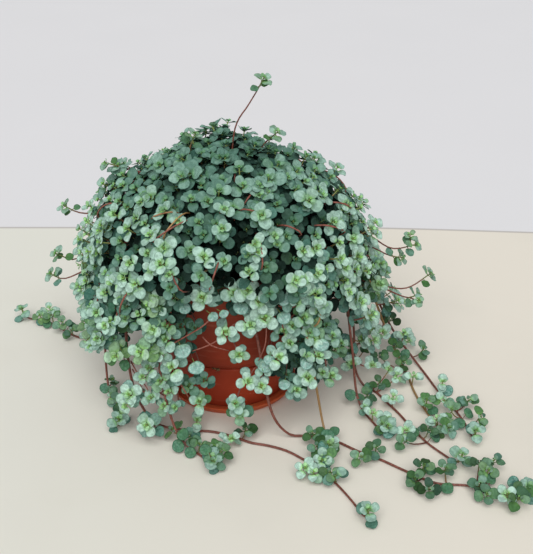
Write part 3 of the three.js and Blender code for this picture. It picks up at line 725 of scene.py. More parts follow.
class Growth:
    """Collects the blades and stems of one piece and makes a single mesh object of them."""

    shape = BladeShape()
    blade_slot = 0
    stem_slot = 1
    clearance = 0.25  # how near the surface a vertex may come, in mm

    def __init__(self, seed: int) -> None:
        """Starts empty.

        Args:
            seed: Seeds every draw of this piece, so that it grows alike each time.
        """
        self.random = np.random.default_rng(seed)
        self.blades: list[Blade] = []
        self.stems: list[Stem] = []
        self._vertices: list[np.ndarray] = []
        self._faces: list[tuple[int, ...]] = []
        self._slots: list[int] = []
        self._blade: list[np.ndarray] = []
        self._leaf: list[np.ndarray] = []
        self._count = 0

    def between(self, low: float, high: float) -> float:
        """A draw between two numbers."""
        return float(self.random.uniform(low, high))

    def chance(self, share: float) -> bool:
        """Whether a draw with this chance comes true."""
        return bool(self.random.random() < share)

    def jitter(self, size: float) -> Vector:
        """A small random vector, in the unit of size."""
        return Vector(self.random.normal(0.0, size, 3))

    def _append(
        self,
        places: np.ndarray,
        faces: Sequence[tuple[int, ...]],
        slot: int,
        blade: np.ndarray,
        leaf: np.ndarray,
    ) -> None:
        """Adds one patch of mesh.

        Args:
            places: Its vertices, in mm.
            faces: Its faces, counted from its own first vertex.
            slot: Its material's number.
            blade: Across, along and rim share of each vertex.
            leaf: Age, tint and depth of each vertex.
        """
        start = self._count
        self._vertices.append(places)
        self._faces.extend(tuple(start + corner for corner in face) for face in faces)
        self._slots.extend([slot] * len(faces))
        self._blade.append(blade)
        self._leaf.append(leaf)
        self._count += len(places)

    def _add_blades(self) -> None:
        """Adds the mesh of every blade."""
        shape = self.shape
        points, faces = shape.points(), shape.faces()
        across, along, rim = points.T
        ahead_of_middle = along - 0.5
        far = across**2 + ahead_of_middle**2
        angles = np.arctan2(across, ahead_of_middle)
        by_the_stalk = 1 + shape.inner // 2  # the inner ring's point that stays level with the base
        for blade in self.blades:
            ahead, up = np.array(blade.along), np.array(blade.face)
            side = np.cross(ahead, up)
            turn = self.between(0.0, 2 * math.pi)
            lobes = 1.0 + rim * shape.ripple(shape.lobes, angles, turn)
            waves = rim * shape.ripple(shape.waves, angles, turn)
            wide = across * lobes * self.between(*shape.widths)
            long = 0.5 + ahead_of_middle * lobes
            rise = -blade.cup * far + blade.fold * np.abs(across) + waves
            rise = rise - rise[by_the_stalk]
            off = wide[:, None] * side + long[:, None] * ahead + rise[:, None] * up
            looks = np.tile((blade.age, blade.tint, blade.depth), (len(points), 1))
            places = np.array(blade.base) + blade.length * off
            self._append(places, faces, self.blade_slot, points, looks)
            self._add_stalk(blade, side)

    def _add_stalk(self, blade: Blade, side: np.ndarray) -> None:
        """Adds the mesh of a blade's stalk.

        Args:
            blade: The blade.
            side: The direction across it.
        """
        shape, sides = self.shape, self.shape.stalk_sides
        turns = 2 * math.pi * np.arange(sides) / sides
        thick = shape.stalk_radius + shape.stalk_gain * blade.length
        up = np.array(blade.face)
        ring = thick * (np.cos(turns)[:, None] * side + np.sin(turns)[:, None] * up)
        end = np.array(blade.base) + shape.stalk_inset * blade.length * np.array(blade.along)
        places = np.vstack([np.array(blade.root) + ring, end + shape.stalk_taper * ring])
        looks = np.tile((shape.stalk_age * blade.age, blade.tint, blade.depth), (2 * sides, 1))
        self._append(places, tube_faces(2, sides), self.stem_slot, np.zeros((2 * sides, 3)), looks)

    def _add_stem(self, stem: Stem) -> None:
        """Adds the mesh of one stem, closed at both ends.

        Args:
            stem: The stem.
        """
        route, sides = stem.route, stem.sides
        count = max(2, math.ceil(route.length / stem.spacing) + 1)
        side = side_of(route.forward(route.length))
        places, looks = [], []
        for back in np.linspace(route.length, 0.0, count):
            place, ahead = route.place(back), route.forward(back)
            side = square_to(ahead, side).normalized()
            other = ahead.cross(side)
            share = back / route.length
            radius = stem.tip_radius + (stem.root_radius - stem.tip_radius) * share
            looks += [stem.looks(back)] * sides
            for i in range(sides):
                angle = 2 * math.pi * i / sides
                places.append(place + (side * math.cos(angle) + other * math.sin(angle)) * radius)
        faces = tube_faces(count, sides)
        faces.append(tuple(reversed(range(sides))))
        faces.append(tuple(range((count - 1) * sides, count * sides)))
        vertices = np.array([list(place) for place in places])
        self._append(vertices, faces, self.stem_slot, np.zeros((len(places), 3)), np.array(looks))

    def build(self, name: str, materials: Sequence[bpy.types.Material], *nodes: str) -> None:
        """Makes the piece, on the plant's body.

        Args:
            name: Its name.
            materials: The blades' material and the stems' material.
            nodes: The nodes that it replaces.
        """
        self._add_blades()
        for stem in self.stems:
            self._add_stem(stem)
        mesh = bpy.data.meshes.new(name)
        places = np.vstack(self._vertices)
        places[:, 2] = np.maximum(places[:, 2], self.clearance)
        mesh.from_pydata((places * MM).tolist(), [], self._faces)
        mesh.polygons.foreach_set("material_index", self._slots)
        mesh.polygons.foreach_set("use_smooth", [True] * len(self._faces))
        for label, rows in (("blade", self._blade), ("leaf", self._leaf)):
            numbers = mesh.attributes.new(label, "FLOAT_VECTOR", "POINT")
            numbers.data.foreach_set("vector", np.vstack(rows).astype(np.float32).ravel())
        for material in materials:
            mesh.materials.append(material)
        mesh.update()
        log.info("%s: %d leaves, %d stems", name, len(self.blades), len(self.stems))
        keep(put_in_scene(name, mesh), Slot.FOLIAGE, *nodes)


@dataclass(frozen=True)
class Habit:
    """How leaves stand on a leafy shoot. Lengths are in mm."""

    leaf: float = 11.0  # length of a full-grown blade
    internode: float = 8.5  # between full-grown pairs
    leafy: float = 30.0  # how far back from the tip leaves grow
    facing: float = 0.75  # 0 is a blade that faces along its stem, 1 one that faces the light
    branching: float = 0.0  # chance of a side shoot at a full-grown pair
    bare: float = 0.05  # chance that a full-grown leaf is missing
    unruly: float = 0.16  # how much each blade's face is off
    depth: float = 0.0  # 0 at the outside of the foliage, 1 in its shade
    shaded: float = 0.25  # how much deeper in the shade the leaves behind a tip are
    shaded_over: float = 11.0  # how far back from the tip that is reached

    # Of each of the tip's pairs, for a blade of 10 mm: distance back from the tip, share of the full
    # length, and lift
    tip_pairs: tuple[Place, ...] = (
        (0.2, 0.2, 60.0),
        (0.8, 0.42, 40.0),
        (1.9, 0.82, 18.0),
        (3.9, 1.0, 4.0),
    )
    full_age: float = 22.0  # how far back from the tip a leaf is full-grown
    oldest: float = 1.0  # the age of its oldest leaves
    uneven: float = 0.08  # how much deeper in the shade any one leaf may be


class Shoot:
    """One leafy shoot: a stem with opposite pairs of leaves, each pair across the one before."""

    grown_sizes = (0.86, 1.1)  # shares of the full length that grown leaves have
    grown_lifts = (-16.0, 8.0)  # how far their tips are raised, in degrees
    grown_share = 0.8  # leaves with more than this share of the full length may be missing
    gaps = (0.75, 1.3)  # shares of the internode between two pairs
    first_gap = 0.7  # the share of it behind the tip's pairs
    tip_twist = 0.2  # how far off the quarter turn from pair to pair is, in radians
    twist = 0.35  # and how far further back
    youth = 0.4  # how much a young leaf turns to the light and is off, beside a grown one
    skew = 0.4  # how far the blades of a pair turn to and from the tip
    sizes = (0.9, 1.08)
    lift_off = 7  # how far off a leaf's lift is, in degrees
    near_square = 0.2  # a leaf that would lie flatter than this along its face points ahead instead
    square = 0.05  # and with less than this left, it points anywhere
    stalk = (0.1, 0.2)  # share of the blade's length, and how much more with age
    stalk_start = 0.6  # how much longer the stalk is, so that it clears the stem, in mm
    stalk_lean = (0.55, 0.6, 0.2)  # how much it leans away from the stem, along the blade and ahead
    cups = (-0.12, 0.42)  # how far a blade bends down when young, and how much more with age
    cup_off = (-0.12, 0.16)
    folded = 0.2  # how far a young blade's sides are folded up
    fold_off = (-0.04, 0.13)
    hue = 0.22  # how far a leaf's tint is off its shoot's
    root_gap = 2.0  # how near the root the last leaves grow, in mm
    branch_turn = 0.5  # how far off a side shoot is from its leaf, in radians
    branch_reach = (0.8, 1.7)  # how far it reaches, in lengths of a full-grown blade
    branch_sizes = (0.66, 0.88)  # the share of the full length that its blades have

    def __init__(self, growth: Growth, habit: Habit, light: Vector, tint: float | None = None) -> None:
        """Gets ready to grow.

        Args:
            growth: The piece that it belongs to.
            habit: How its leaves stand.
            light: Where its blades turn.
            tint: From 0, blue-green, to 1, yellowish. It is drawn if left out.
        """
        self.growth = growth
        self.habit = habit
        self.light = light
        self.tint = growth.between(0.0, 1.0) if tint is None else tint

    def grow(self, route: Route, root_radius: float = 0.9, tip_radius: float = 0.55) -> None:
        """Grows the stem and its leaves.

        Args:
            route: The stem's line.
            root_radius: Its radius at the root.
            tip_radius: Its radius at the tip.
        """
        habit, growth = self.habit, self.growth
        growth.stems.append(Stem(route, root_radius, tip_radius, self.tint, habit.depth))
        turn = growth.between(0.0, math.pi)
        last = 0.0
        for back, share, lift in habit.tip_pairs:
            last = back * habit.leaf / TIP_LEAF
            self._pair(route, last, share, lift, turn)
            turn += math.pi / 2 + growth.between(-self.tip_twist, self.tip_twist)
        back = last + self.first_gap * habit.internode
        while back < min(habit.leafy, route.length - self.root_gap):
            size = growth.between(*self.grown_sizes)
            self._pair(route, back, size, growth.between(*self.grown_lifts), turn)
            if growth.chance(habit.branching):
                self._branch(route, back, turn)
            turn += math.pi / 2 + growth.between(-self.twist, self.twist)
            back += habit.internode * growth.between(*self.gaps)

    def _across(self, ahead: Vector, turn: float) -> Vector:
        """The direction square to a stem at a turn about it.

        Args:
            ahead: The stem's direction.
            turn: The turn, in radians.

        Returns:
            A unit vector.
        """
        first = side_of(ahead)
        second = ahead.cross(first)
        return first * math.cos(turn) + second * math.sin(turn)

    def _pair(self, route: Route, back: float, share: float, lift: float, turn: float) -> None:
        """Adds two opposite leaves.

        Args:
            route: The stem's line.
            back: How far back from its tip they stand.
            share: Their length as a share of a full-grown blade's.
            lift: How far their tips are raised, in degrees.
            turn: The pair's turn about the stem, in radians.
        """
        place, ahead = route.place(back), route.forward(back)
        axis = self._across(ahead, turn)
        for hand in (1.0, -1.0):
            if share > self.grown_share and self.growth.chance(self.habit.bare):
                continue
            raised = math.radians(lift + self.growth.between(-self.lift_off, self.lift_off))
            self._leaf(place, ahead, axis * hand, back, share, raised, hand)

    def _leaf(
        self,
        place: Vector,
        ahead: Vector,
        away: Vector,
        back: float,
        share: float,
        lift: float,
        hand: float,
    ) -> None:
        """Adds one leaf.

        Args:
            place: The place on the stem.
            ahead: The stem's direction.
            away: The direction in which the leaf leaves it.
            back: How far back from the tip it stands.
            share: Its length as a share of a full-grown blade's.
            lift: How far its tip is raised, in radians.
            hand: 1 or -1, for one or the other leaf of the pair.
        """
        habit, growth = self.habit, self.growth
        age = min(back / habit.full_age, habit.oldest)
        facing = habit.facing * min(self.youth + age, 1.0)
        unruly = habit.unruly * (self.youth + (1.0 - self.youth) * age)
        face = (ahead.lerp(self.light, facing) + growth.jitter(unruly)).normalized()
        flat = self._flat(face, ahead, away, hand, age)
        along = (flat * math.cos(lift) + face * math.sin(lift)).normalized()
        face = (face * math.cos(lift) - flat * math.sin(lift)).normalized()
        length = habit.leaf * share * growth.between(*self.sizes)
        stalk = (self.stalk[0] + self.stalk[1] * age * share) * length
        out, on, up = self.stalk_lean
        lean = (away * out + along * on + ahead * up).normalized()
        cup = self.cups[0] + self.cups[1] * age + growth.between(*self.cup_off)
        fold = self.folded * (1.0 - age) + growth.between(*self.fold_off)
        tint = min(max(self.tint + growth.between(-self.hue, self.hue), 0.0), 1.0)
        behind = habit.shaded * min(back / habit.shaded_over, 1.0) ** 2
        depth = min(habit.depth + behind + growth.between(0.0, habit.uneven), 1.0)
        base = place + lean * (stalk + self.stalk_start)
        growth.blades.append(Blade(place, base, along, face, length, cup, fold, age, tint, depth))

    def _flat(self, face: Vector, ahead: Vector, away: Vector, hand: float, age: float) -> Vector:
        """The direction of a leaf before its tip is raised.

        Args:
            face: The direction that it faces.
            ahead: The stem's direction.
            away: The direction in which the leaf leaves it.
            hand: 1 or -1, for one or the other leaf of the pair.
            age: The leaf's age.

        Returns:
            A unit vector square to face.
        """
        onward = square_to(face, ahead)
        flat = square_to(face, away) + onward * self.skew * hand * age
        if flat.length < self.near_square:
            flat = onward * hand
        if flat.length < self.square:
            flat = self._across(face, self.growth.between(0.0, math.pi))
        return flat.normalized()

    def _branch(self, route: Route, back: float, turn: float) -> None:
        """Adds a short side shoot that turns to the light.

        Args:
            route: The stem's line.
            back: How far back from its tip it leaves.
            turn: Its turn about the stem, in radians.
        """
        growth, habit = self.growth, self.habit
        place, ahead = route.place(back), route.forward(back)
        off = growth.between(-self.branch_turn, self.branch_turn)
        away = self._across(ahead, turn + off)
        if away.dot(self.light) < 0.0:
            away = -away
        reach = growth.between(*self.branch_reach) * habit.leaf
        middle = place + (away * 0.7 + ahead * 0.5).normalized() * reach * 0.5
        tip = middle + (self.light * 0.8 + away * 0.5).normalized() * reach * 0.5
        small = Habit(
            leaf=habit.leaf * growth.between(*self.branch_sizes),
            internode=habit.internode * 0.7,
            leafy=reach * 0.8,
            facing=habit.facing,
            depth=habit.depth,
            unruly=habit.unruly,
        )
        Shoot(growth, small, self.light, self.tint).grow(Route([place, middle, tip]), 0.6, 0.45)


def put_in_scene(name: str, data: bpy.types.ID) -> bpy.types.Object:
    """Makes an object of a mesh, a light or a camera.

    Args:
        name: The object's name.
        data: What it shows.

    Returns:
        The object, in the scene.
    """
    made = bpy.data.objects.new(name, data)
    bpy.context.scene.collection.objects.link(made)
    return made


def keep(piece: bpy.types.Object, slot: Slot, *nodes: str) -> None:
    """Fixes a piece to the plant's body, says which nodes it stands for and reports it.

    Args:
        piece: The finished piece.
        slot: The record's slot that its finish belongs to. It is not used.
        nodes: The nodes that it replaces.
    """
    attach(piece, BODY)
    for node in nodes:
        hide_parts(node)
    replaced = " and ".join(nodes) or "no node"
    log.info("%s: %d faces, replaces %s", piece.name, len(piece.data.polygons), replaced)


# ------------------------------------------------------------------------------- pot and saucer


def turned(
    name: str, profile: Sequence[Pair], material: bpy.types.Material, sides: int = 128
) -> bpy.types.Object:
    """Turns an outline about the pot's axis into a closed mesh.

    Args:
        name: The object's name.
        profile: Radius and height of each point in mm, from the axis round to the axis.
        material: Its material.
        sides: How many facets it has.

    Returns:
        The object, in the scene.
    """
    vertices: list[Place] = []
    rings: list[list[int]] = []
    for radius, height in profile:
        count = 1 if radius < ON_AXIS else sides
        start = len(vertices)
        for i in range(count):
            angle = 2 * math.pi * i / sides
            vertices.append((radius * math.cos(angle) * MM, radius * math.sin(angle) * MM, height * MM))
        rings.append([start + i % count for i in range(sides)])
    faces = []
    for low, high in zip(rings, rings[1:]):
        for i in range(sides):
            corners = (low[i], low[(i + 1) % sides], high[(i + 1) % sides], high[i])
            faces.append(tuple(dict.fromkeys(corners)))
    mesh = bpy.data.meshes.new(name)
    mesh.from_pydata(vertices, [], faces)
    mesh.polygons.foreach_set("use_smooth", [True] * len(faces))
    mesh.materials.append(material)
    mesh.set_sharp_from_angle(angle=math.radians(SHARP))
    mesh.update()
    return put_in_scene(name, mesh)


def rounded(profile: Sequence[Pair], radius: float, steps: int = 3) -> list[Pair]:
    """Rounds the corners of an outline.

    Args:
        profile: Radius and height of each point, in mm.
        radius: How far from each corner its rounding starts.
        steps: How many points each rounding has.

    Returns:
        The rounded outline, with its first and last points kept.
    """
    made = [profile[0]]
    for before, corner, after in zip(profile, profile[1:], profile[2:]):
        here = Vector(corner)
        back, on = Vector(before) - here, Vector(after) - here
        start = here + back.normalized() * min(radius, back.length * 0.45)
        end = here + on.normalized() * min(radius, on.length * 0.45)
        for step in range(steps + 1):
            t = step / steps
            place = start.lerp(here, t).lerp(here.lerp(end, t), t)
            made.append((place.x, place.y))
    made.append(profile[-1])
    return made


@dataclass
class Saucer:
    """The shallow saucer with its flared lip. Sizes in mm."""

    foot_radius: float = 53.0
    lip_radius: float = 57.0
    lip_height: float = 6.4
    lip_thickness: float = 1.7
    floor_height: float = 3.0
    rounding: float = 0.5
    # Painted light: lighter and oranger than the pot's terracotta, for the lit saucer
    warm: Colour = (0.56, 0.12, 0.04)
    deep: Colour = (0.36, 0.06, 0.024)

    def build(self) -> None:
        """Makes the saucer and puts it under the pot."""
        outline = [
            (0.0, 0.0),
            (self.foot_radius, 0.0),
            (self.lip_radius - 0.4, self.lip_height - 1.2),
            (self.lip_radius, self.lip_height),
            (self.lip_radius - self.lip_thickness, self.lip_height),
            (self.foot_radius - 1.0, self.floor_height),
            (0.0, self.floor_height),
        ]
        finish = TerracottaFinish("saucer_terracotta", warm=self.warm, deep=self.deep)
        keep(turned("saucer_dish", rounded(outline, self.rounding), finish.make()), Slot.SAUCER, "saucer")


@dataclass
class Pot:
    """The tapered pot with a narrower lower band, a ledge and a thick rim. Sizes in mm."""

    foot: float = 3.3
    foot_radius: float = 48.5
    band_radius: float = 56.0
    band_top: float = 45.0
    waist_radius: float = 54.4
    wall_top_radius: float = 71.4
    rim_bottom: float = 119.0
    rim_radius: float = 75.0
    rim_top: float = 131.4
    wall: float = 2.3
    rounding: float = 0.7

    def outline(self) -> list[Pair]:
        """Lays out the pot from the middle of its foot, round its rim, to its inner floor.

        Returns:
            Radius and height of each point.
        """
        band, waist = self.band_top, self.waist_radius
        return [
            (0.0, self.foot),
            (self.foot_radius - 1.5, self.foot),
            (self.foot_radius, self.foot + 1.4),
            (self.band_radius, band - 0.9),
            (self.band_radius - 0.5, band),
            (waist, band + 0.4),
            (waist + 4.2, band + 3.2),
            (waist + 8.0, band + 8.0),
            (waist + 10.6, band + 15.5),
            (waist + 12.4, band + 28.0),
            (self.wall_top_radius, self.rim_bottom),
            (self.rim_radius - 1.2, self.rim_bottom + 0.8),
            (self.rim_radius, self.rim_top - 1.2),
            (self.rim_radius - 0.9, self.rim_top),
            (self.wall_top_radius - self.wall + 1.0, self.rim_top),
            (self.wall_top_radius - self.wall, self.rim_bottom),
            (waist + 12.2 - self.wall, band + 28.0),
            (waist + 7.4 - self.wall, band + 8.0 + self.wall * 0.6),
            (waist - self.wall, band + self.wall * 0.8),
            (self.foot_radius + 0.2 - self.wall, self.foot + self.wall + 1.0),
            (0.0, self.foot + self.wall + 1.0),
        ]

    def build(self) -> None:
        """Makes the pot."""
        material = TerracottaFinish("pot_terracotta").make()
        keep(turned("pot_shell", rounded(self.outline(), self.rounding), material), Slot.POT, "pot")


@dataclass
class Compost:
    """The crumbly compost that fills the pot. Sizes in mm."""

    radius: float = 67.6
    height: float = 113.0
    crown: float = 3.0
    depth: float = 9.0
    rings: int = 30
    sides: int = 96
    crumbs: float = 1.3
    fine_scale: float = 330.0  # crumbs per metre
    coarse_scale: float = 90.0

    def build(self) -> None:
        """Makes the compost's bumpy top layer, which is all of it that can be seen."""
        profile = [(0.0, self.height - self.depth), (self.radius - 1.0, self.height - self.depth)]
        for ring in range(self.rings + 1):
            share = 1.0 - ring / self.rings
            swell = self.crown * math.cos(0.5 * math.pi * min(share * 1.1, 1.0))
            profile.append((self.radius * share, self.height + swell))
        piece = turned("compost_top", profile, CompostFinish().make(), self.sides)
        for vertex in piece.data.vertices:
            level = Vector((vertex.co.x, vertex.co.y, 0.0))
            if vertex.co.z > (self.height - 1.0) * MM and level.length < (self.radius - 2.0) * MM:
                fine = noise.noise(level * self.fine_scale)
                coarse = noise.noise(level * self.coarse_scale)
                vertex.co.z += self.crumbs * MM * (0.7 * fine + coarse)
        keep(piece, Slot.SOIL, "soil")


@dataclass
class Litter:
    """Dry bits of leaf on the pot's ledge and in the saucer. Sizes in mm."""

    places: tuple[Place, ...] = (
        (-12.5, -54.2, 46.6),
        (-7.0, -55.0, 46.2),
        (-9.5, -56.2, 45.6),
        (18.0, -51.6, 4.2),
        (-22.0, -50.4, 4.4),
        (34.0, 43.0, 4.3),
        (-40.0, 36.0, 4.3),
    )
    lengths: Pair = (2.6, 4.8)
    tilt: float = 0.5
    seed: int = 4

    def build(self) -> None:
        """Makes the bits as small curled blades."""
        growth = Growth(self.seed)
        for middle in self.places:
            ahead = growth.jitter(1.0)
            face = (UP + growth.jitter(self.tilt)).normalized()
            along = square_to(face, ahead).normalized()
            length = growth.between(*self.lengths)
            base = Vector(middle) - along * length * 0.5
            looks = {"cup": -0.6, "fold": 0.5, "age": 1.0, "tint": 0.5, "depth": 0.0}
            growth.blades.append(Blade(base - along * 0.8, base, along, face, length, **looks))
        finish = DryLeafFinish().make()
        growth.build("dry_leaf_litter", (finish, finish))


# ------------------------------------------------------------------------------- foliage


@dataclass(frozen=True)
class Rim:
    """Where stems stand in the compost and pass over the pot's rim. Sizes in mm."""

    ring: float = 60.0
    soil: float = 113.0
    hole: float = 12.0
    edge: float = 74.0
    crest: float = 137.8
    clear: float = 6.0  # how far outside the edge stems hang at least

    def over(self, azimuth: float, ring: float | None = None) -> list[Vector]:
        """A stem's points from its root up and over the rim.

        Args:
            azimuth: Where round the pot it stands, in degrees.
            ring: How far from the axis it stands, if not on the usual ring.

        Returns:
            The points, in mm.
        """
        ring = self.ring if ring is None else ring
        return [
            polar(ring, azimuth, self.soil - self.hole),
            polar(ring, azimuth, self.soil + 3.0),
            polar(ring + 4.0, azimuth, self.soil + 18.0),
            polar(self.edge, azimuth, self.crest),
        ]


RIM = Rim()


@dataclass
class Crown:
    """The dome of leafy shoots over the pot. Sizes in mm, angles in degrees."""

    materials: tuple[bpy.types.Material, bpy.types.Material]
    centre: Vector = field(default_factory=lambda: Vector((-2.0, 0.0, 127.0)))
    reach: float = 122.0
    rise: float = 90.0
    roundness: float = 2.15
    lowest: float = 103.0
    opening: float = -92.0  # azimuth of the front opening over the pot
    opening_width: float = 40.0
    opening_lift: float = 27.0  # how much higher the foliage ends there
    # The dome's unevenness, as the size and the fineness of its waves
    uneven: tuple[Pair, ...] = ((0.04, 2.3), (0.03, 5.1))

    # The shoots
    hollows: float = 12.0  # how far the deepest hollows between the clumps lie back
    hollow_scale: float = 8.0
    inset: Pair = (-4.0, 7.0)  # how much further back a tip lies
    place_off: float = 0.035  # how far off its even place a shoot stands
    to_light: float = 0.45  # how much shoots lean to the light
    calm_top: float = 0.35  # how much less those on top do
    lean_off: float = 0.22  # how far off a shoot's lean is
    upper: float = 20.0  # length of a shoot's upper part
    lower: float = 22.0  # and of its lower part
    sizes: Pair = (0.76, 1.16)
    top_from: float = 0.6  # how far up the dome its top starts, as a direction's z
    top_gain: float = 0.75  # how fast the leaves grow larger from there
    edge_shade: float = 8.0  # how many degrees over the lower edge shoots are shaded
    tints: Pair = (0.0, 0.52)
    habit: Habit = Habit(facing=0.62, shaded=0.3, unruly=0.26)
    sectors: int = 8
    seed: int = 100

    # The shade
    daylight: float = 6.0  # how far below the surface a leaf still has all the light
    dusk: float = 14.5  # how much further down it is fully in the shade
    top_loss: float = 0.7  # the share of daylight that is lost on top
    top_shade: float = 0.42  # how much darker the painted shade makes the leaves on top than those at the sides
    darkest: float = 0.97

    # The stems that stand out of the dome or cross its surface
    stray_habit: Habit = Habit(leaf=7.6, internode=7.0, leafy=13.0, facing=0.9, depth=0.22, branching=0.15)
    stray_tints: Pair = (0.72, 0.83)
    ends_beyond: float = 0.25  # how far a crossing stem runs on past its ends
    crossing: tuple[float, ...] = (0.85, 0.95, 0.98, 0.96, 0.86)  # how far out its points lie

    # Of each layer: number of shoots, share of the reach, leaf length, leafy length and depth
    layers: tuple[tuple[int, float, float, float, float], ...] = (
        (600, 1.0, 8.7, 15.0, 0.0),
        (300, 0.9, 9.2, 17.0, 0.3),
        (220, 0.79, 9.8, 20.0, 0.7),
    )
    # Swellings and hollows of the dome: direction, height in mm and width in radians
    swells: tuple[tuple[Place, float, float], ...] = (
        ((-0.05, 0.5, 0.87), 11.0, 0.34),
        ((-0.5, 0.35, 0.8), -7.0, 0.3),
        ((0.42, 0.4, 0.85), -6.0, 0.26),
        ((-0.8, 0.0, 0.6), 7.0, 0.22),
        ((0.75, 0.1, 0.62), 4.0, 0.3),
    )
    # Longer shoots that stand out of the dome, by their points
    strays: tuple[tuple[Place, ...], ...] = (
        ((2, 0, 190), (6, 1, 232), (17, 0, 252), (24, -1, 264), (29, -2, 274)),
        ((20, 10, 195), (28, 8, 216), (40, 4, 229)),
        ((-34, 0, 195), (-30, 4, 216), (-26, 8, 226)),
        ((80, 10, 150), (114, 6, 140), (136, 3, 128), (156, 0, 133)),
        ((80, 6, 140), (116, 4, 130), (134, 2, 122), (145, 0, 121)),
        ((70, -20, 120), (120, -14, 104), (148, -8, 96), (170, 0, 106)),
        ((120, -14, 104), (140, -10, 92), (152, -6, 86), (160, -3, 88)),
        ((-84, 6, 160), (-112, 2, 160), (-124, 0, 162), (-135, 0, 168)),
        ((-84, 6, 140), (-118, 6, 124), (-132, 4, 117), (-146, 2, 124)),
        ((-90, -6, 130), (-126, -2, 108), (-142, 0, 101), (-152, 0, 106)),
        ((-60, 10, 190), (-84, 6, 198), (-98, 2, 204)),
    )
    # Bare stems that cross the dome's surface: azimuth and tilt of both ends, and tint
    wandering: tuple[tuple[float, float, float, float, float], ...] = (
        (-120, 65, -108, 54, 0.3),
        (-73, 61, -74, 72, 0.2),
        (-79, 48, -70, 51, 0.4),
        (-91, 70, -94, 79, 0.5),
        (-109, 72, -104, 80, 0.1),
        (-127, 84, -134, 100, 0.3),
        (-67, 39, -76, 45, 0.2),
        (-73, 18, -78, 28, 0.3),
        (-127, 56, -117, 51, 0.86),
        (-116, 62, -111, 51, 0.95),
        (-39, 63, -28, 70, 0.2),
        (-59, 58, -53, 63, 0.4),
        (-52, 101, -52, 90, 0.9),
        (-20, 58, -12, 66, 0.3),
        (20, 70, 29, 60, 0.5),
        (58, 58, 50, 70, 0.2),
        (100, 50, 92, 62, 0.88),
        (121, 75, 112, 82, 0.3),
        (150, 55, 160, 66, 0.1),
        (-170, 70, -162, 60, 0.4),
    )

    def surface(self, direction: Vector, share: float = 1.0) -> Vector:
        """The place on the dome in one direction from its centre.

        Args:
            direction: A unit vector.
            share: The share of the whole reach.

        Returns:
            The place, in mm.
        """
        level = math.hypot(direction.x, direction.y)
        power = self.roundness
        size = ((level / self.reach) ** power + (abs(direction.z) / self.rise) ** power) ** (-1 / power)
        size *= sum((height * noise.noise(direction * fine) for height, fine in self.uneven), 1.0)
        for middle, height, width in self.swells:
            off = direction.angle(Vector(middle))
            size += height * math.exp(-((off / width) ** 2))
        return self.centre + direction * size * share

    def ends_at(self, azimuth: float) -> float:
        """How many degrees from straight up the foliage ends at an azimuth."""
        off = (azimuth - self.opening + 180.0) % 360.0 - 180.0
        return self.lowest - self.opening_lift * math.exp(-((off / self.opening_width) ** 2))

    def above_edge(self, direction: Vector) -> float:
        """How many degrees a direction stands above the lower edge of the foliage."""
        azimuth = math.degrees(math.atan2(direction.y, direction.x))
        return self.ends_at(azimuth) - math.degrees(direction.angle(UP))

    def directions(self, count: int) -> list[Vector]:
        """Directions spread evenly from straight up to where the foliage ends.

        Args:
            count: How many there would be without the front opening.

        Returns:
            The directions, as unit vectors.
        """
        golden = math.pi * (3.0 - math.sqrt(5.0))
        bottom = math.cos(math.radians(self.lowest))
        found = []
        for i in range(count):
            z = 1.0 - (i + 0.5) / count * (1.0 - bottom)
            level = math.sqrt(1.0 - z * z)
            azimuth = math.degrees(i * golden)
            if math.degrees(math.acos(z)) < self.ends_at(azimuth):
                found.append(polar(level, azimuth, z))
        return found

    def _sector(self, azimuth: float) -> int:
        """The number of the sector that an azimuth lies in."""
        return int(azimuth % 360.0 / 360.0 * self.sectors) % self.sectors

    def _shoot(self, growth: Growth, direction: Vector, layer: tuple[float, ...]) -> None:
        """Grows one shoot out to the dome.

        Args:
            growth: The piece that it belongs to.
            direction: Its direction from the dome's centre.
            layer: Share of the reach, leaf length, leafy length and depth.
        """
        share, leaf, leafy, depth = layer
        direction = (direction + growth.jitter(self.place_off)).normalized()
        clump = noise.noise(direction * self.hollow_scale + UP * 3.0)
        inset = self.hollows * min(max(0.3 - 2.2 * clump, 0.0), 1.0) + growth.between(*self.inset)
        tip = self.surface(direction, share) - direction * inset
        sideways = 1.0 - self.calm_top * max(direction.z, 0.0)
        lean = direction + LIGHT * self.to_light * sideways + growth.jitter(self.lean_off)
        lean.normalize()
        middle = tip - lean * self.upper + growth.jitter(1.5)
        root = middle - (direction * 0.8 - UP * 0.3).normalized() * self.lower
        light = (direction * 0.5 + LIGHT * 0.65 * sideways).normalized()
        size = leaf * growth.between(*self.sizes)
        size *= 1.0 + self.top_gain * max(direction.z - self.top_from, 0.0)
        # Painted shade on the shoots just over the lower edge of the foliage
        tucked = max(0.0, self.edge_shade - self.above_edge(direction)) / self.edge_shade
        habit = replace(self.habit, leaf=size, leafy=leafy, depth=min(depth + 0.4 * tucked, 0.95))
        tint = growth.between(*self.tints)
        Shoot(growth, habit, light, tint).grow(Route([root, middle, tip], 6.0), 0.8, 0.5)

    def _wander(self, growth: Growth, ends: tuple[float, ...]) -> None:
        """Grows one bare stem that shows between the leaves.

        Args:
            growth: The piece that it belongs to.
            ends: Azimuth and tilt of both its ends, and its tint.
        """
        *angles, tint = ends
        start, end = (
            polar(math.sin(math.radians(tilt)), azimuth, math.cos(math.radians(tilt)))
            for azimuth, tilt in zip(angles[::2], angles[1::2])
        )
        on, past = 1.0 + self.ends_beyond, self.ends_beyond
        directions = (start * on - end * past, start, start + end, end, end * on - start * past)
        points = [self.surface(each.normalized(), out) for each, out in zip(directions, self.crossing)]
        growth.stems.append(Stem(Route(points), 0.75, 0.55, tint, depth=0.05, age=0.5, buried=12.0))

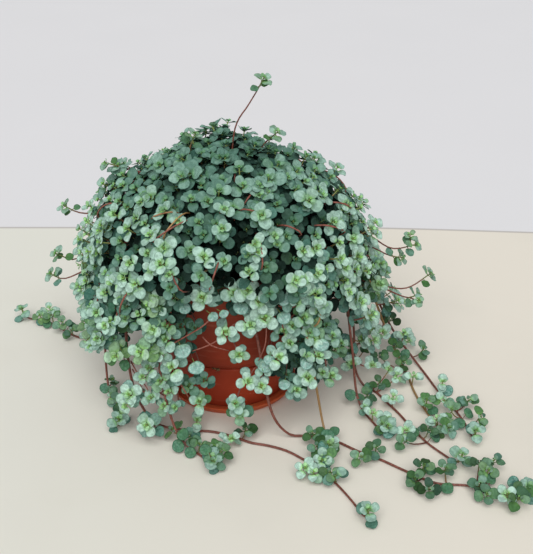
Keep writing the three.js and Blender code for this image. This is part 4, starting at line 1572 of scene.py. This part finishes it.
    def _darken(self, growth: Growth) -> None:
        """Paints shade on the leaves that lie below the dome's surface, and more of it on those on top.

        Args:
            growth: The piece that they belong to.
        """
        for blade in growth.blades:
            off = blade.base - self.centre
            sunk = (self.surface(off.normalized()) - self.centre).length - off.length
            top = max(off.normalized().z, 0.0) ** 1.5
            daylight = self.daylight * (1.0 - self.top_loss * top)
            sunk = min(max((sunk - daylight) / self.dusk, 0.0), 1.0)
            lit = (1.0 - blade.depth) * (1.0 - 0.9 * sunk) * (1.0 - self.top_shade * top)
            blade.depth = min(1.0 - lit, self.darkest)

    def build(self) -> None:
        """Makes the dome in sectors, so that no piece is too large."""
        growths = [Growth(self.seed + i) for i in range(self.sectors)]
        for count, *layer in self.layers:
            for direction in self.directions(count):
                azimuth = math.degrees(math.atan2(direction.y, direction.x))
                self._shoot(growths[self._sector(azimuth)], direction, tuple(layer))
        for growth in growths:
            self._darken(growth)
        for ends in self.wandering:
            self._wander(growths[self._sector(ends[0])], ends)
        growth = growths[0]
        for points in self.strays:
            tint = growth.between(*self.stray_tints)
            route = Route([Vector(point) for point in points])
            Shoot(growth, self.stray_habit, LIGHT, tint).grow(route, 0.85, 0.5)
        for number, growth in enumerate(growths, 1):
            growth.build(f"crown_foliage_{number:02d}", self.materials, "crown")


@dataclass(frozen=True)
class Bunch:
    """Stems that hang over the rim side by side. Sizes in mm, angles in degrees."""

    azimuth: float  # where its middle comes over the rim
    reach: float  # how far from the axis its outermost stems hang
    low: float  # how high its lowest tip is over the surface
    rise: float  # how far the tips of its stems turn up
    spread: float = 14.0  # how far round from its middle its stems stand
    stems: int = 9
    uneven: float = 60.0  # how much higher than the lowest the highest tip hangs
    rosettes: tuple[Place, ...] = ()  # tips of large pale shoots that catch the light
    tips: tuple[Place, ...] = ()  # tips of common shoots
    dim: tuple[Place, ...] = ()  # tips of shoots that lie in the others' shade
    lone: tuple[tuple[float, ...], ...] = ()  # single leaves on bare stems, with their lengths
    bare: tuple[tuple[Place, ...], ...] = ()  # leafless stems that cross in front of the pot
    aside: float = 0.0  # how far round from a placed tip its stem comes over the rim


@dataclass
class HangingStems:
    """The skirt of stems over the rim, denser at the sides and back than at the front."""

    materials: tuple[bpy.types.Material, bpy.types.Material]
    bunches: tuple[Bunch, ...] = (
        Bunch(
            -108, 82, 62, 2, stems=0, aside=-22,
            rosettes=((-43, -97, 73), (-53, -96, 84)),
            tips=(
                (-37, -97, 134), (-45, -97, 110), (-46, -97, 98), (-60, -96, 45), (-50, -97, 38),
                (-41, -97, 36), (-52, -96, 60), (-22, -97, 42), (-50, -92, 124), (-57, -96, 105),
                (-62, -96, 88), (-60, -96, 72), (-66, -90, 116), (-46, -96, 50), (-66, -90, 60),
            ),
            dim=(
                (-35, -86, 104), (-24, -87, 102), (-18, -89, 57), (-30, -90, 52), (-34, -86, 116),
                (-36, -86, 86),
            ),
            lone=(
                (-33, -97, 88, 12.5), (-23, -97, 73, 11.5), (-30, -96, 124, 9), (-38, -96, 61, 9.5),
                (-9, -96, 117, 8), (-1, -95, 119, 7),
            ),
            bare=(
                ((-9, -92, 115), (-18, -94, 107), (-30, -94, 99), (-44, -90, 88)),
                ((6, -90, 101), (-5, -92, 95), (-14, -93, 90), (-26, -91, 84)),
                ((-18, -90, 96), (-11, -93, 90), (2, -92, 85)),
                ((-40, -93, 66), (-37, -94, 58), (-30, -95, 44)),
                ((-77, -74, 63), (-70, -84, 68), (-58, -92, 73)),
                ((-77, -74, 65), (-71, -82, 58), (-62, -92, 49)),
                ((-76, -75, 58), (-71, -80, 50), (-64, -90, 40)),
                ((-80, -80, 38), (-72, -86, 43), (-62, -93, 49)),
            ),
        ),
        Bunch(
            -92, 84, 92, 4, stems=0,
            rosettes=(
                (-17, -97, 134), (0, -98, 105), (17, -97, 140), (26, -98, 131), (30, -98, 117),
                (19, -98, 111), (36, -97, 138),
            ),
            tips=((10, -96, 84), (54, -97, 131), (7, -95, 137), (44, -95, 104)),
            dim=((10, -86, 122), (-4, -86, 134), (24, -86, 124), (38, -86, 122)),
            lone=((12, -95, 124, 12), (-14, -94, 141, 9), (44, -97, 117, 10.5), (44, -97, 132, 9.5)),
        ),
        Bunch(
            -68, 84, 46, 4, stems=0, aside=16,
            rosettes=((41, -98, 83), (17, -98, 61), (27, -98, 57), (64, -97, 64), (69, -95, 136)),
            tips=(
                (49, -97, 95), (30, -96, 71), (51, -97, 110), (60, -96, 117), (55, -96, 52),
                (64, -94, 102), (7, -97, 40), (10, -97, 31), (62, -95, 82), (72, -92, 120),
            ),
            dim=(
                (42, -88, 66), (47, -88, 61), (55, -87, 73), (53, -86, 86), (60, -86, 92), (53, -87, 45),
                (66, -85, 74), (68, -84, 110), (48, -85, 104), (62, -86, 54),
            ),
            lone=(
                (73, -93, 91, 11), (45, -96, 57, 9), (62, -96, 76, 10), (33, -97, 80, 8.5),
                (30, -95, 73, 11),
            ),
            bare=(
                ((31, -90, 116), (31, -94, 107), (30, -95, 92), (25, -92, 76)),
                ((43, -90, 116), (43, -94, 108), (46, -93, 98)),
                ((57, -90, 108), (61, -94, 99), (67, -92, 90), (72, -89, 84)),
                ((40, -92, 124), (48, -93, 123), (57, -91, 124)),
            ),
        ),
        Bunch(-40, 108, 36, 4, spread=17, stems=13, uneven=60),
        Bunch(8, 124, 70, 10, spread=22, stems=10, uneven=50),
        Bunch(50, 122, 46, 6, spread=15, stems=8),
        Bunch(76, 122, 38, 6, spread=12, stems=8),
        Bunch(94, 122, 58, 8, spread=12, stems=8),
        Bunch(130, 122, 44, 6, spread=18, stems=10),
        Bunch(166, 120, 62, 8, spread=15, stems=9),
        Bunch(-177, 120, 54, 4, spread=14, stems=10, uneven=50),
        Bunch(-151, 118, 64, 4, spread=13, stems=10, uneven=44),
        Bunch(-131, 114, 82, 4, spread=9, stems=8, uneven=36),
    )
    habit: Habit = Habit(
        leaf=9.0, internode=9.4, leafy=78.0, facing=0.85, branching=0.32, unruly=0.26, shaded=0.4
    )
    rosette_habit: Habit = Habit(leaf=9.4, internode=7.0, leafy=10.0, facing=0.9, shaded=0.3, oldest=0.3)
    front_habit: Habit = Habit(
        leaf=7.8, internode=7.0, leafy=11.0, facing=0.85, branching=0.15, depth=0.14, uneven=0.2
    )
    dim_habit: Habit = Habit(leaf=8.2, internode=7.0, leafy=12.0, facing=0.8, full_age=14.0, depth=0.55)
    sizes: Pair = (0.82, 1.12)  # how much the leaves of the stems of a bunch differ
    placed_sizes: Pair = (0.88, 1.12)
    rings: Pair = (54.0, 64.0)  # how far from the axis the stems of a bunch stand
    layers: float = 34.0  # how far in from a bunch's reach its innermost stems hang
    inner_depth: float = 0.6  # how much deeper in the shade those are
    swing: float = 5.0  # how far round from its azimuth a stem ends, in degrees
    near: float = 30.0  # how near a placed shoot must be for another to grow from it
    pale_tint: float = 0.35  # the most that a rosette's tint is
    common_tint: float = 0.75  # and the most of the other placed shoots
    seed: int = 200

    def _falling(self, growth: Growth, bunch: Bunch) -> None:
        """Grows one stem of a bunch.

        Args:
            growth: The piece that it belongs to.
            bunch: The bunch.
        """
        azimuth = bunch.azimuth + growth.between(-bunch.spread, bunch.spread)
        raised = growth.between(0.0, 1.0) ** 1.2
        low = bunch.low + bunch.uneven * raised
        inset = growth.between(0.0, 1.0)
        least = RIM.edge + RIM.clear
        reach = max(bunch.reach - self.layers * inset + 4.0 * raised, least)
        shoulder = RIM.crest - 4.0
        swing = growth.between(-self.swing, self.swing)
        halfway, swung = azimuth + swing * 0.5, azimuth + swing
        points = RIM.over(azimuth, growth.between(*self.rings)) + [
            polar(max(least, reach - 38.0), azimuth, shoulder + growth.between(-3.0, 5.0)),
            polar(reach - 6.0, halfway, shoulder + (low - shoulder) * 0.36),
            polar(reach + growth.between(-5.0, 3.0), swung, low + 14.0),
            polar(reach + 4.0, swung, low),
            polar(reach + 7.0, swung, low + bunch.rise * 0.5) + LIGHT * 4.0,
        ]
        light = (level_of(points[-1]) * 0.45 + LIGHT * 0.8).normalized()
        leaf = self.habit.leaf * growth.between(*self.sizes)
        habit = replace(self.habit, leaf=leaf, depth=0.05 + self.inner_depth * inset)
        Shoot(growth, habit, light).grow(Route(points), 0.95, 0.55)

    def _placed(
        self, growth: Growth, habit: Habit, tip: Place, aside: float, placed: Sequence[Vector]
    ) -> None:
        """Grows one shoot to a chosen tip near the pot's wall, over the rim or from a shoot above it.

        Args:
            growth: The piece that it belongs to.
            habit: How its leaves stand.
            tip: Where it ends.
            aside: How far round from it the stem comes over the rim, in degrees.
            placed: The tips that already stand.
        """
        end = Vector(tip)
        outward = level_of(end)
        above = [other for other in placed if other.z > end.z + 4.0]
        nearest = min(above, key=lambda other: (other - end).length, default=None)
        if nearest is not None and (nearest - end).length < self.near:
            start = nearest - outward * 7.0
            points = [start, start.lerp(end, 0.5) - outward * 7.0]
        else:
            azimuth = math.degrees(math.atan2(end.y, end.x))
            points = RIM.over(azimuth + aside)
            points.append(polar(RIM.edge + 5.0, azimuth + aside, max(RIM.crest - 8.0, end.z + 2.0)))
            if end.z < 105.0:
                points.append(polar(end.xy.length - 8.0, azimuth + aside / 2, (end.z + RIM.crest) / 2))
        points.append(end - outward * 5.0 - UP * 3.0)
        points.append(end)
        light = (outward * 0.35 + LIGHT).normalized()
        leaf = habit.leaf * growth.between(*self.placed_sizes)
        habit = replace(habit, leaf=leaf, depth=habit.depth * growth.between(0.6, 1.2))
        tint = growth.between(0.0, self.pale_tint if habit.oldest < 1.0 else self.common_tint)
        Shoot(growth, habit, light, tint).grow(Route(points), 0.75, 0.5)

    def _lone_leaf(self, growth: Growth, place: Place, length: float, aside: float) -> None:
        """Grows one large leaf before the pot, with the bare stem that it hangs on.

        Args:
            growth: The piece that it belongs to.
            place: Where its middle stands.
            length: Its length.
            aside: How far round from it the stem comes over the rim, in degrees.
        """
        middle = Vector(place)
        face = (LIGHT + growth.jitter(0.12)).normalized()
        azimuth = math.degrees(math.atan2(middle.y, middle.x)) + aside + growth.between(-6.0, 6.0)
        start = polar(RIM.edge + 8.0, azimuth, RIM.crest - 6.0)
        along = square_to(face, (middle - start).normalized()).normalized()
        base = middle - along * length * 0.5
        root = base - along * 3.0 - face * 1.5
        between = root.lerp(start, 0.5) - level_of(root) * 3.0
        route = Route([*RIM.over(azimuth), start, between, root])
        growth.stems.append(Stem(route, 0.4, 0.25, tint=0.3, depth=0.35, age=0.5))
        looks = {"cup": 0.3, "fold": 0.03, "age": 0.42, "tint": 0.05, "depth": 0.14}
        growth.blades.append(Blade(root, base, along, face, length, **looks))

    def build(self) -> None:
        """Makes each bunch as one piece."""
        for number, bunch in enumerate(self.bunches, 1):
            growth = Growth(self.seed + number)
            for _ in range(bunch.stems):
                self._falling(growth, bunch)
            chosen = [(tip, self.rosette_habit) for tip in bunch.rosettes]
            chosen += [(tip, self.front_habit) for tip in bunch.tips]
            chosen += [(tip, self.dim_habit) for tip in bunch.dim]
            placed: list[Vector] = []
            for tip, habit in sorted(chosen, key=lambda each: -each[0][2]):
                self._placed(growth, habit, tip, bunch.aside, placed)
                placed.append(Vector(tip))
            for *place, length in bunch.lone:
                self._lone_leaf(growth, tuple(place), length, bunch.aside)
            for points in bunch.bare:
                route = Route([Vector(point) for point in points])
                tint = growth.between(0.0, 0.7)
                growth.stems.append(Stem(route, 0.62, 0.45, tint, depth=0.0, age=0.5))
            node = f"hanging_stem_{number:02d}"
            growth.build(f"hanging_foliage_{number:02d}", self.materials, node)


@dataclass(frozen=True)
class Trail:
    """A stem that runs down to the surface and along it. Sizes in mm."""

    azimuth: float  # where it comes over the rim, in degrees
    over: tuple[Place, ...]  # its points from the rim down to the surface
    along: tuple[Pair, ...]  # x and y of its points on the surface
    clusters: tuple[tuple[float, ...], ...]  # tips of the shoots beside it: x, y and for high ones z
    falling: tuple[float, ...] = (0.3, 0.38, 0.46)  # shares of the length of shoots above the surface
    tint: float = 0.4


TRAILS: tuple[Trail, ...] = (
    Trail(
        -80,
        ((24, -86, 92), (34, -89, 30), (48, -88, 5)),
        (
            (64, -87), (85, -93), (103, -107), (120, -118), (140, -134), (159, -147), (183, -150),
            (204, -158), (218, -162),
        ),
        (
            (104, -125), (117, -113), (150, -139), (142, -151), (151, -162), (167, -138), (193, -136),
            (198, -144), (205, -131), (189, -158), (192, -168), (206, -172), (213, -176), (218, -168),
        ),
        (),
    ),
    Trail(
        -5,
        ((98, -6, 112), (106, -5, 60), (109, -6, 18), (116, -12, 3)),
        ((127, -23), (134, -38), (142, -54), (150, -74), (160, -96), (171, -112), (178, -121)),
        (
            (138, -46), (130, -20), (140, 0), (145, -13), (144, -88), (141, -105), (162, -88),
            (106, 10, 27), (105, -16, 26), (123, -16, 24), (120, 19, 22), (114, -4, 44),
        ),
    ),
    Trail(
        22,
        ((100, 37, 118), (124, 42, 72), (142, 42, 26), (153, 32, 5)),
        ((158, 6), (160, -20), (164, -44), (170, -66), (174, -78)),
        (
            (160, -12), (166, -50), (171, -75), (178, -88), (155, 14), (128, 37, 30), (147, 19, 22),
            (132, 6, 20), (118, 46, 40), (136, 24, 34),
        ),
        tint=0.93,
    ),
    Trail(
        36,
        ((94, 66, 116), (126, 72, 62), (150, 60, 18), (166, 32, 4)),
        ((175, 4), (181, -20), (190, -46), (196, -72), (198, -88)),
        (
            (184, -22), (180, -50), (184, -66), (202, -48), (207, -72), (176, 36), (164, 52),
            (146, 48, 34), (158, 44, 22), (134, 62, 52),
        ),
    ),
    Trail(
        -22,
        ((92, -36, 112), (102, -38, 58), (107, -40, 16), (112, -50, 2.6)),
        ((117, -62), (122, -74), (126, -82)),
        ((117, -41), (119, -66), (113, -58), (124, -86), (131, -77)),
    ),
    Trail(
        -56,
        ((58, -72, 112), (68, -78, 60), (75, -82, 20), (78, -92, 8)),
        ((79, -106),),
        ((68, -98), (71, -114), (77, -124), (81, -108)),
        tint=0.9,
    ),
    Trail(
        -141,
        ((-78, -64, 108), (-77, -77, 50), (-62, -82, 14), (-40, -80, 3)),
        (
            (-14, -81), (4, -88), (18, -96), (32, -100), (47, -107), (62, -120), (75, -134), (86, -152),
            (95, -170), (101, -184),
        ),
        ((74, -127), (83, -147), (79, -143), (66, -143), (60, -140), (14, -90), (-26, -78)),
    ),
    Trail(
        150,
        ((-96, 50, 114), (-118, 57, 62), (-132, 63, 16), (-145, 70, 3)),
        ((-157, 78), (-169, 89), (-183, 102), (-198, 109), (-207, 111)),
        ((-139, 60), (-156, 72), (-167, 84), (-186, 116), (-180, 98), (-193, 104)),
    ),
    Trail(
        -164,
        ((-98, -27, 114), (-105, -26, 62), (-106, -28, 20), (-102, -38, 4)),
        ((-97, -50), (-93, -62), (-91, -72)),
        ((-95, -49), (-101, -38), (-90, -70), (-104, -16)),
    ),
    Trail(
        -122,
        ((-54, -82, 104), (-50, -93, 52), (-40, -100, 14), (-29, -106, 3)),
        ((-20, -114), (-14, -124)),
        ((-10, -112), (-4, -122), (-9, -130), (-30, -98), (2, -100), (-22, -108), (-44, -90)),
    ),
    Trail(
        112,
        ((-39, 100, 112), (-47, 122, 52), (-53, 137, 8)),
        ((-61, 151), (-71, 164), (-78, 173)),
        ((-60, 148), (-68, 166), (-52, 134)),
    ),
    Trail(
        62,
        ((49, 92, 114), (61, 115, 58), (71, 131, 12)),
        ((84, 143), (99, 152), (109, 157)),
        ((84, 145), (96, 156), (74, 132)),
    ),
)


@dataclass
class TrailingStems:
    """The long stems that lie along the surface, each with its clusters of leaves. Sizes in mm."""

    materials: tuple[bpy.types.Material, bpy.types.Material]
    lying_height: float = 1.6
    upturn: tuple[Pair, ...] = ((4.0, 3.0), (6.5, 11.0))  # the tip's points: how far ahead and how high
    habit: Habit = Habit(leaf=8.4, internode=8.0, leafy=12.0, facing=0.75, unruly=0.2, depth=0.2)
    cluster_habit: Habit = Habit(
        leaf=8.2,
        internode=5.5,
        leafy=4.5,
        full_age=13.0,
        uneven=0.32,
        facing=0.8,
        unruly=0.2,
        tip_pairs=((0.2, 0.18, 60.0), (0.9, 0.4, 38.0), (2.4, 0.86, 10.0), (4.4, 1.0, 0.0)),
    )
    falling_habit: Habit = Habit(leaf=9.6, internode=7.0, leafy=20.0, facing=0.8, branching=0.3)
    heights: Pair = (7.0, 11.0)  # how high the clusters stand
    tints: Pair = (0.68, 0.95)
    pale_share: float = 0.4  # how many of the clusters are paler
    pale_tints: Pair = (0.3, 0.6)
    depths: Pair = (0.08, 0.36)  # how deep in the shade the others are
    large_share: float = 0.5  # how many of them have a large leaf beside them
    large_lengths: Pair = (8.0, 10.0)
    falling_lengths: Pair = (8.0, 14.0)
    seed: int = 300

    def route(self, trail: Trail) -> Route:
        """The whole line of a trailing stem, from its root to its raised tip.

        Args:
            trail: The stem.

        Returns:
            Its line.
        """
        falling = [Vector(place) for place in trail.over]
        lying = [Vector((x, y, self.lying_height)) for x, y in trail.along]
        before = lying[-2] if len(lying) > 1 else falling[-1]
        onward = level_of(lying[-1] - before)
        raised = [lying[-1] + onward * ahead + UP * up for ahead, up in self.upturn]
        return Route(RIM.over(trail.azimuth) + falling + lying + raised)

    def _cluster(self, growth: Growth, route: Route, spot: tuple[float, ...], tint: float) -> None:
        """Grows a leafy shoot from the stem to a place beside it.

        Args:
            growth: The piece that it belongs to.
            route: The stem's line.
            spot: The place's x, y and, for a shoot that stands high, z.
            tint: The shoot's tint.
        """
        x, y, up = (*spot, growth.between(*self.heights))[:3]
        tip = Vector((x, y, up))
        near = route.places[route.places[:, 2] < up + 8.0]
        root = Vector(near[int(np.linalg.norm(near - np.array(tip), axis=1).argmin())])
        middle = root.lerp(tip, 0.55) - UP * 2.0
        middle.z = max(middle.z, self.lying_height)
        light = (LIGHT + growth.jitter(0.1)).normalized()
        end = tip + (light * 0.8 + UP * 0.2) * 3.0
        if growth.chance(self.pale_share):
            habit = replace(self.cluster_habit, full_age=24.0, uneven=0.12)
            tint = growth.between(*self.pale_tints)
        else:
            habit = replace(self.cluster_habit, depth=growth.between(*self.depths))
        Shoot(growth, habit, light, tint).grow(Route([root, middle, tip, end], 2.5), 0.65, 0.45)
        if growth.chance(self.large_share):
            self._large_leaf(growth, root, tip, light, tint)

    def _large_leaf(self, growth: Growth, root: Vector, tip: Vector, light: Vector, tint: float) -> None:
        """Adds the single large leaf that stands beside a cluster on its own stalk.

        Args:
            growth: The piece that it belongs to.
            root: Where its stalk leaves the stem.
            tip: The cluster's tip, which it stands away from.
            light: Where it turns its face.
            tint: Its tint.
        """
        away = Vector((root.x - tip.x, root.y - tip.y, 0.0)) + growth.jitter(3.0)
        away.z = 0.0
        if away.length < 0.5:
            return
        face = (light + growth.jitter(0.18)).normalized()
        away.normalize()
        along = square_to(face, away).normalized()
        base = root + away * growth.between(1.5, 4.0) + UP * growth.between(3.0, 5.5)
        length = growth.between(*self.large_lengths)
        looks = {"cup": 0.28, "fold": 0.03, "age": 1.0, "tint": tint, "depth": 0.25}
        growth.blades.append(Blade(root, base, along, face, length, **looks))

    def _falling_shoot(self, growth: Growth, route: Route, share: float) -> None:
        """Grows a shoot out of the part of a stem that still falls.

        Args:
            growth: The piece that it belongs to.
            route: The stem's line.
            share: Where it leaves the stem, as a share of the stem's length.
        """
        back = route.length * (1.0 - share)
        root, ahead = route.place(back), route.forward(back)
        outward = level_of(root)
        aside = ahead.cross(outward).normalized() * growth.between(-0.8, 0.8)
        lean = (outward + aside + UP * 0.2).normalized()
        middle = root + lean * 9.0
        tip = middle + (lean + LIGHT * 0.6).normalized() * growth.between(*self.falling_lengths)
        light = (outward * 0.7 + LIGHT * 0.7).normalized()
        Shoot(growth, self.falling_habit, light).grow(Route([root, middle, tip]), 0.65, 0.5)

    def build(self) -> None:
        """Makes each stem as one piece."""
        for number, trail in enumerate(TRAILS, 1):
            growth = Growth(self.seed + number)
            route = self.route(trail)
            Shoot(growth, self.habit, LIGHT, trail.tint).grow(route, 1.3, 0.85)
            for spot in trail.clusters:
                self._cluster(growth, route, spot, growth.between(*self.tints))
            for share in trail.falling:
                self._falling_shoot(growth, route, share)
            node = f"trailing_stem_{number:02d}"
            growth.build(f"trailing_foliage_{number:02d}", self.materials, node)


# ------------------------------------------------------------------------------- studio


@dataclass
class Studio:
    """The pale floor, the soft light and the camera. Sizes in metres, angles in degrees."""

    camera_place: Place = (0.031, -0.717, 0.457)
    camera_pitch: float = 26.3
    lens: float = 61.3
    floor_size: float = 8.0
    sky: Colour = (0.97, 0.985, 1.0)
    sky_strength: float = 0.36
    key_colour: Colour = (1.0, 0.985, 0.96)
    key_from: Place = (-0.06, -0.66, 0.75)
    key_strength: float = 2.62
    key_spread: float = 54.0

    def build(self) -> None:
        """Puts everything in place."""
        self._floor()
        self._camera()
        self._sky()
        self._key()
        bpy.context.scene.view_settings.view_transform = "Standard"

    def _floor(self) -> None:
        """Makes the floor."""
        half = self.floor_size / 2
        corners = [(-half, -half, 0), (half, -half, 0), (half, half, 0), (-half, half, 0)]
        mesh = bpy.data.meshes.new("floor")
        mesh.from_pydata(corners, [], [(0, 1, 2, 3)])
        mesh.materials.append(FloorFinish().make())
        put_in_scene("floor", mesh)

    def _camera(self) -> None:
        """Makes the camera at the photograph's place."""
        lens = bpy.data.cameras.new("camera")
        lens.lens = self.lens
        made = put_in_scene("camera", lens)
        made.location = self.camera_place
        made.rotation_euler = (math.radians(90.0 - self.camera_pitch), 0.0, 0.0)
        bpy.context.scene.camera = made

    def _sky(self) -> None:
        """Makes the even light from all round."""
        world = bpy.data.worlds.new("studio")
        world.use_nodes = True
        backdrop = world.node_tree.nodes["Background"]
        backdrop.inputs["Color"].default_value = (*self.sky, 1.0)
        backdrop.inputs["Strength"].default_value = self.sky_strength
        bpy.context.scene.world = world

    def _key(self) -> None:
        """Makes the broad soft light from the front, which falls alike on everything."""
        light = bpy.data.lights.new("key", "SUN")
        light.energy = self.key_strength
        light.angle = math.radians(self.key_spread)
        light.color = self.key_colour
        made = put_in_scene("key", light)
        made.rotation_euler = Vector(self.key_from).to_track_quat("Z", "Y").to_euler()


def main() -> None:
    """Builds the studio and the plant."""
    logging.basicConfig(level=logging.INFO, format="%(message)s")
    foliage = (LeafFinish().make(), StemFinish().make())
    parts = (
        Studio(),
        Saucer(),
        Pot(),
        Compost(),
        Litter(),
        TrailingStems(foliage),
        HangingStems(foliage),
        Crown(foliage),
    )
    for part in parts:
        part.build()


if __name__ == "__main__":
    main()
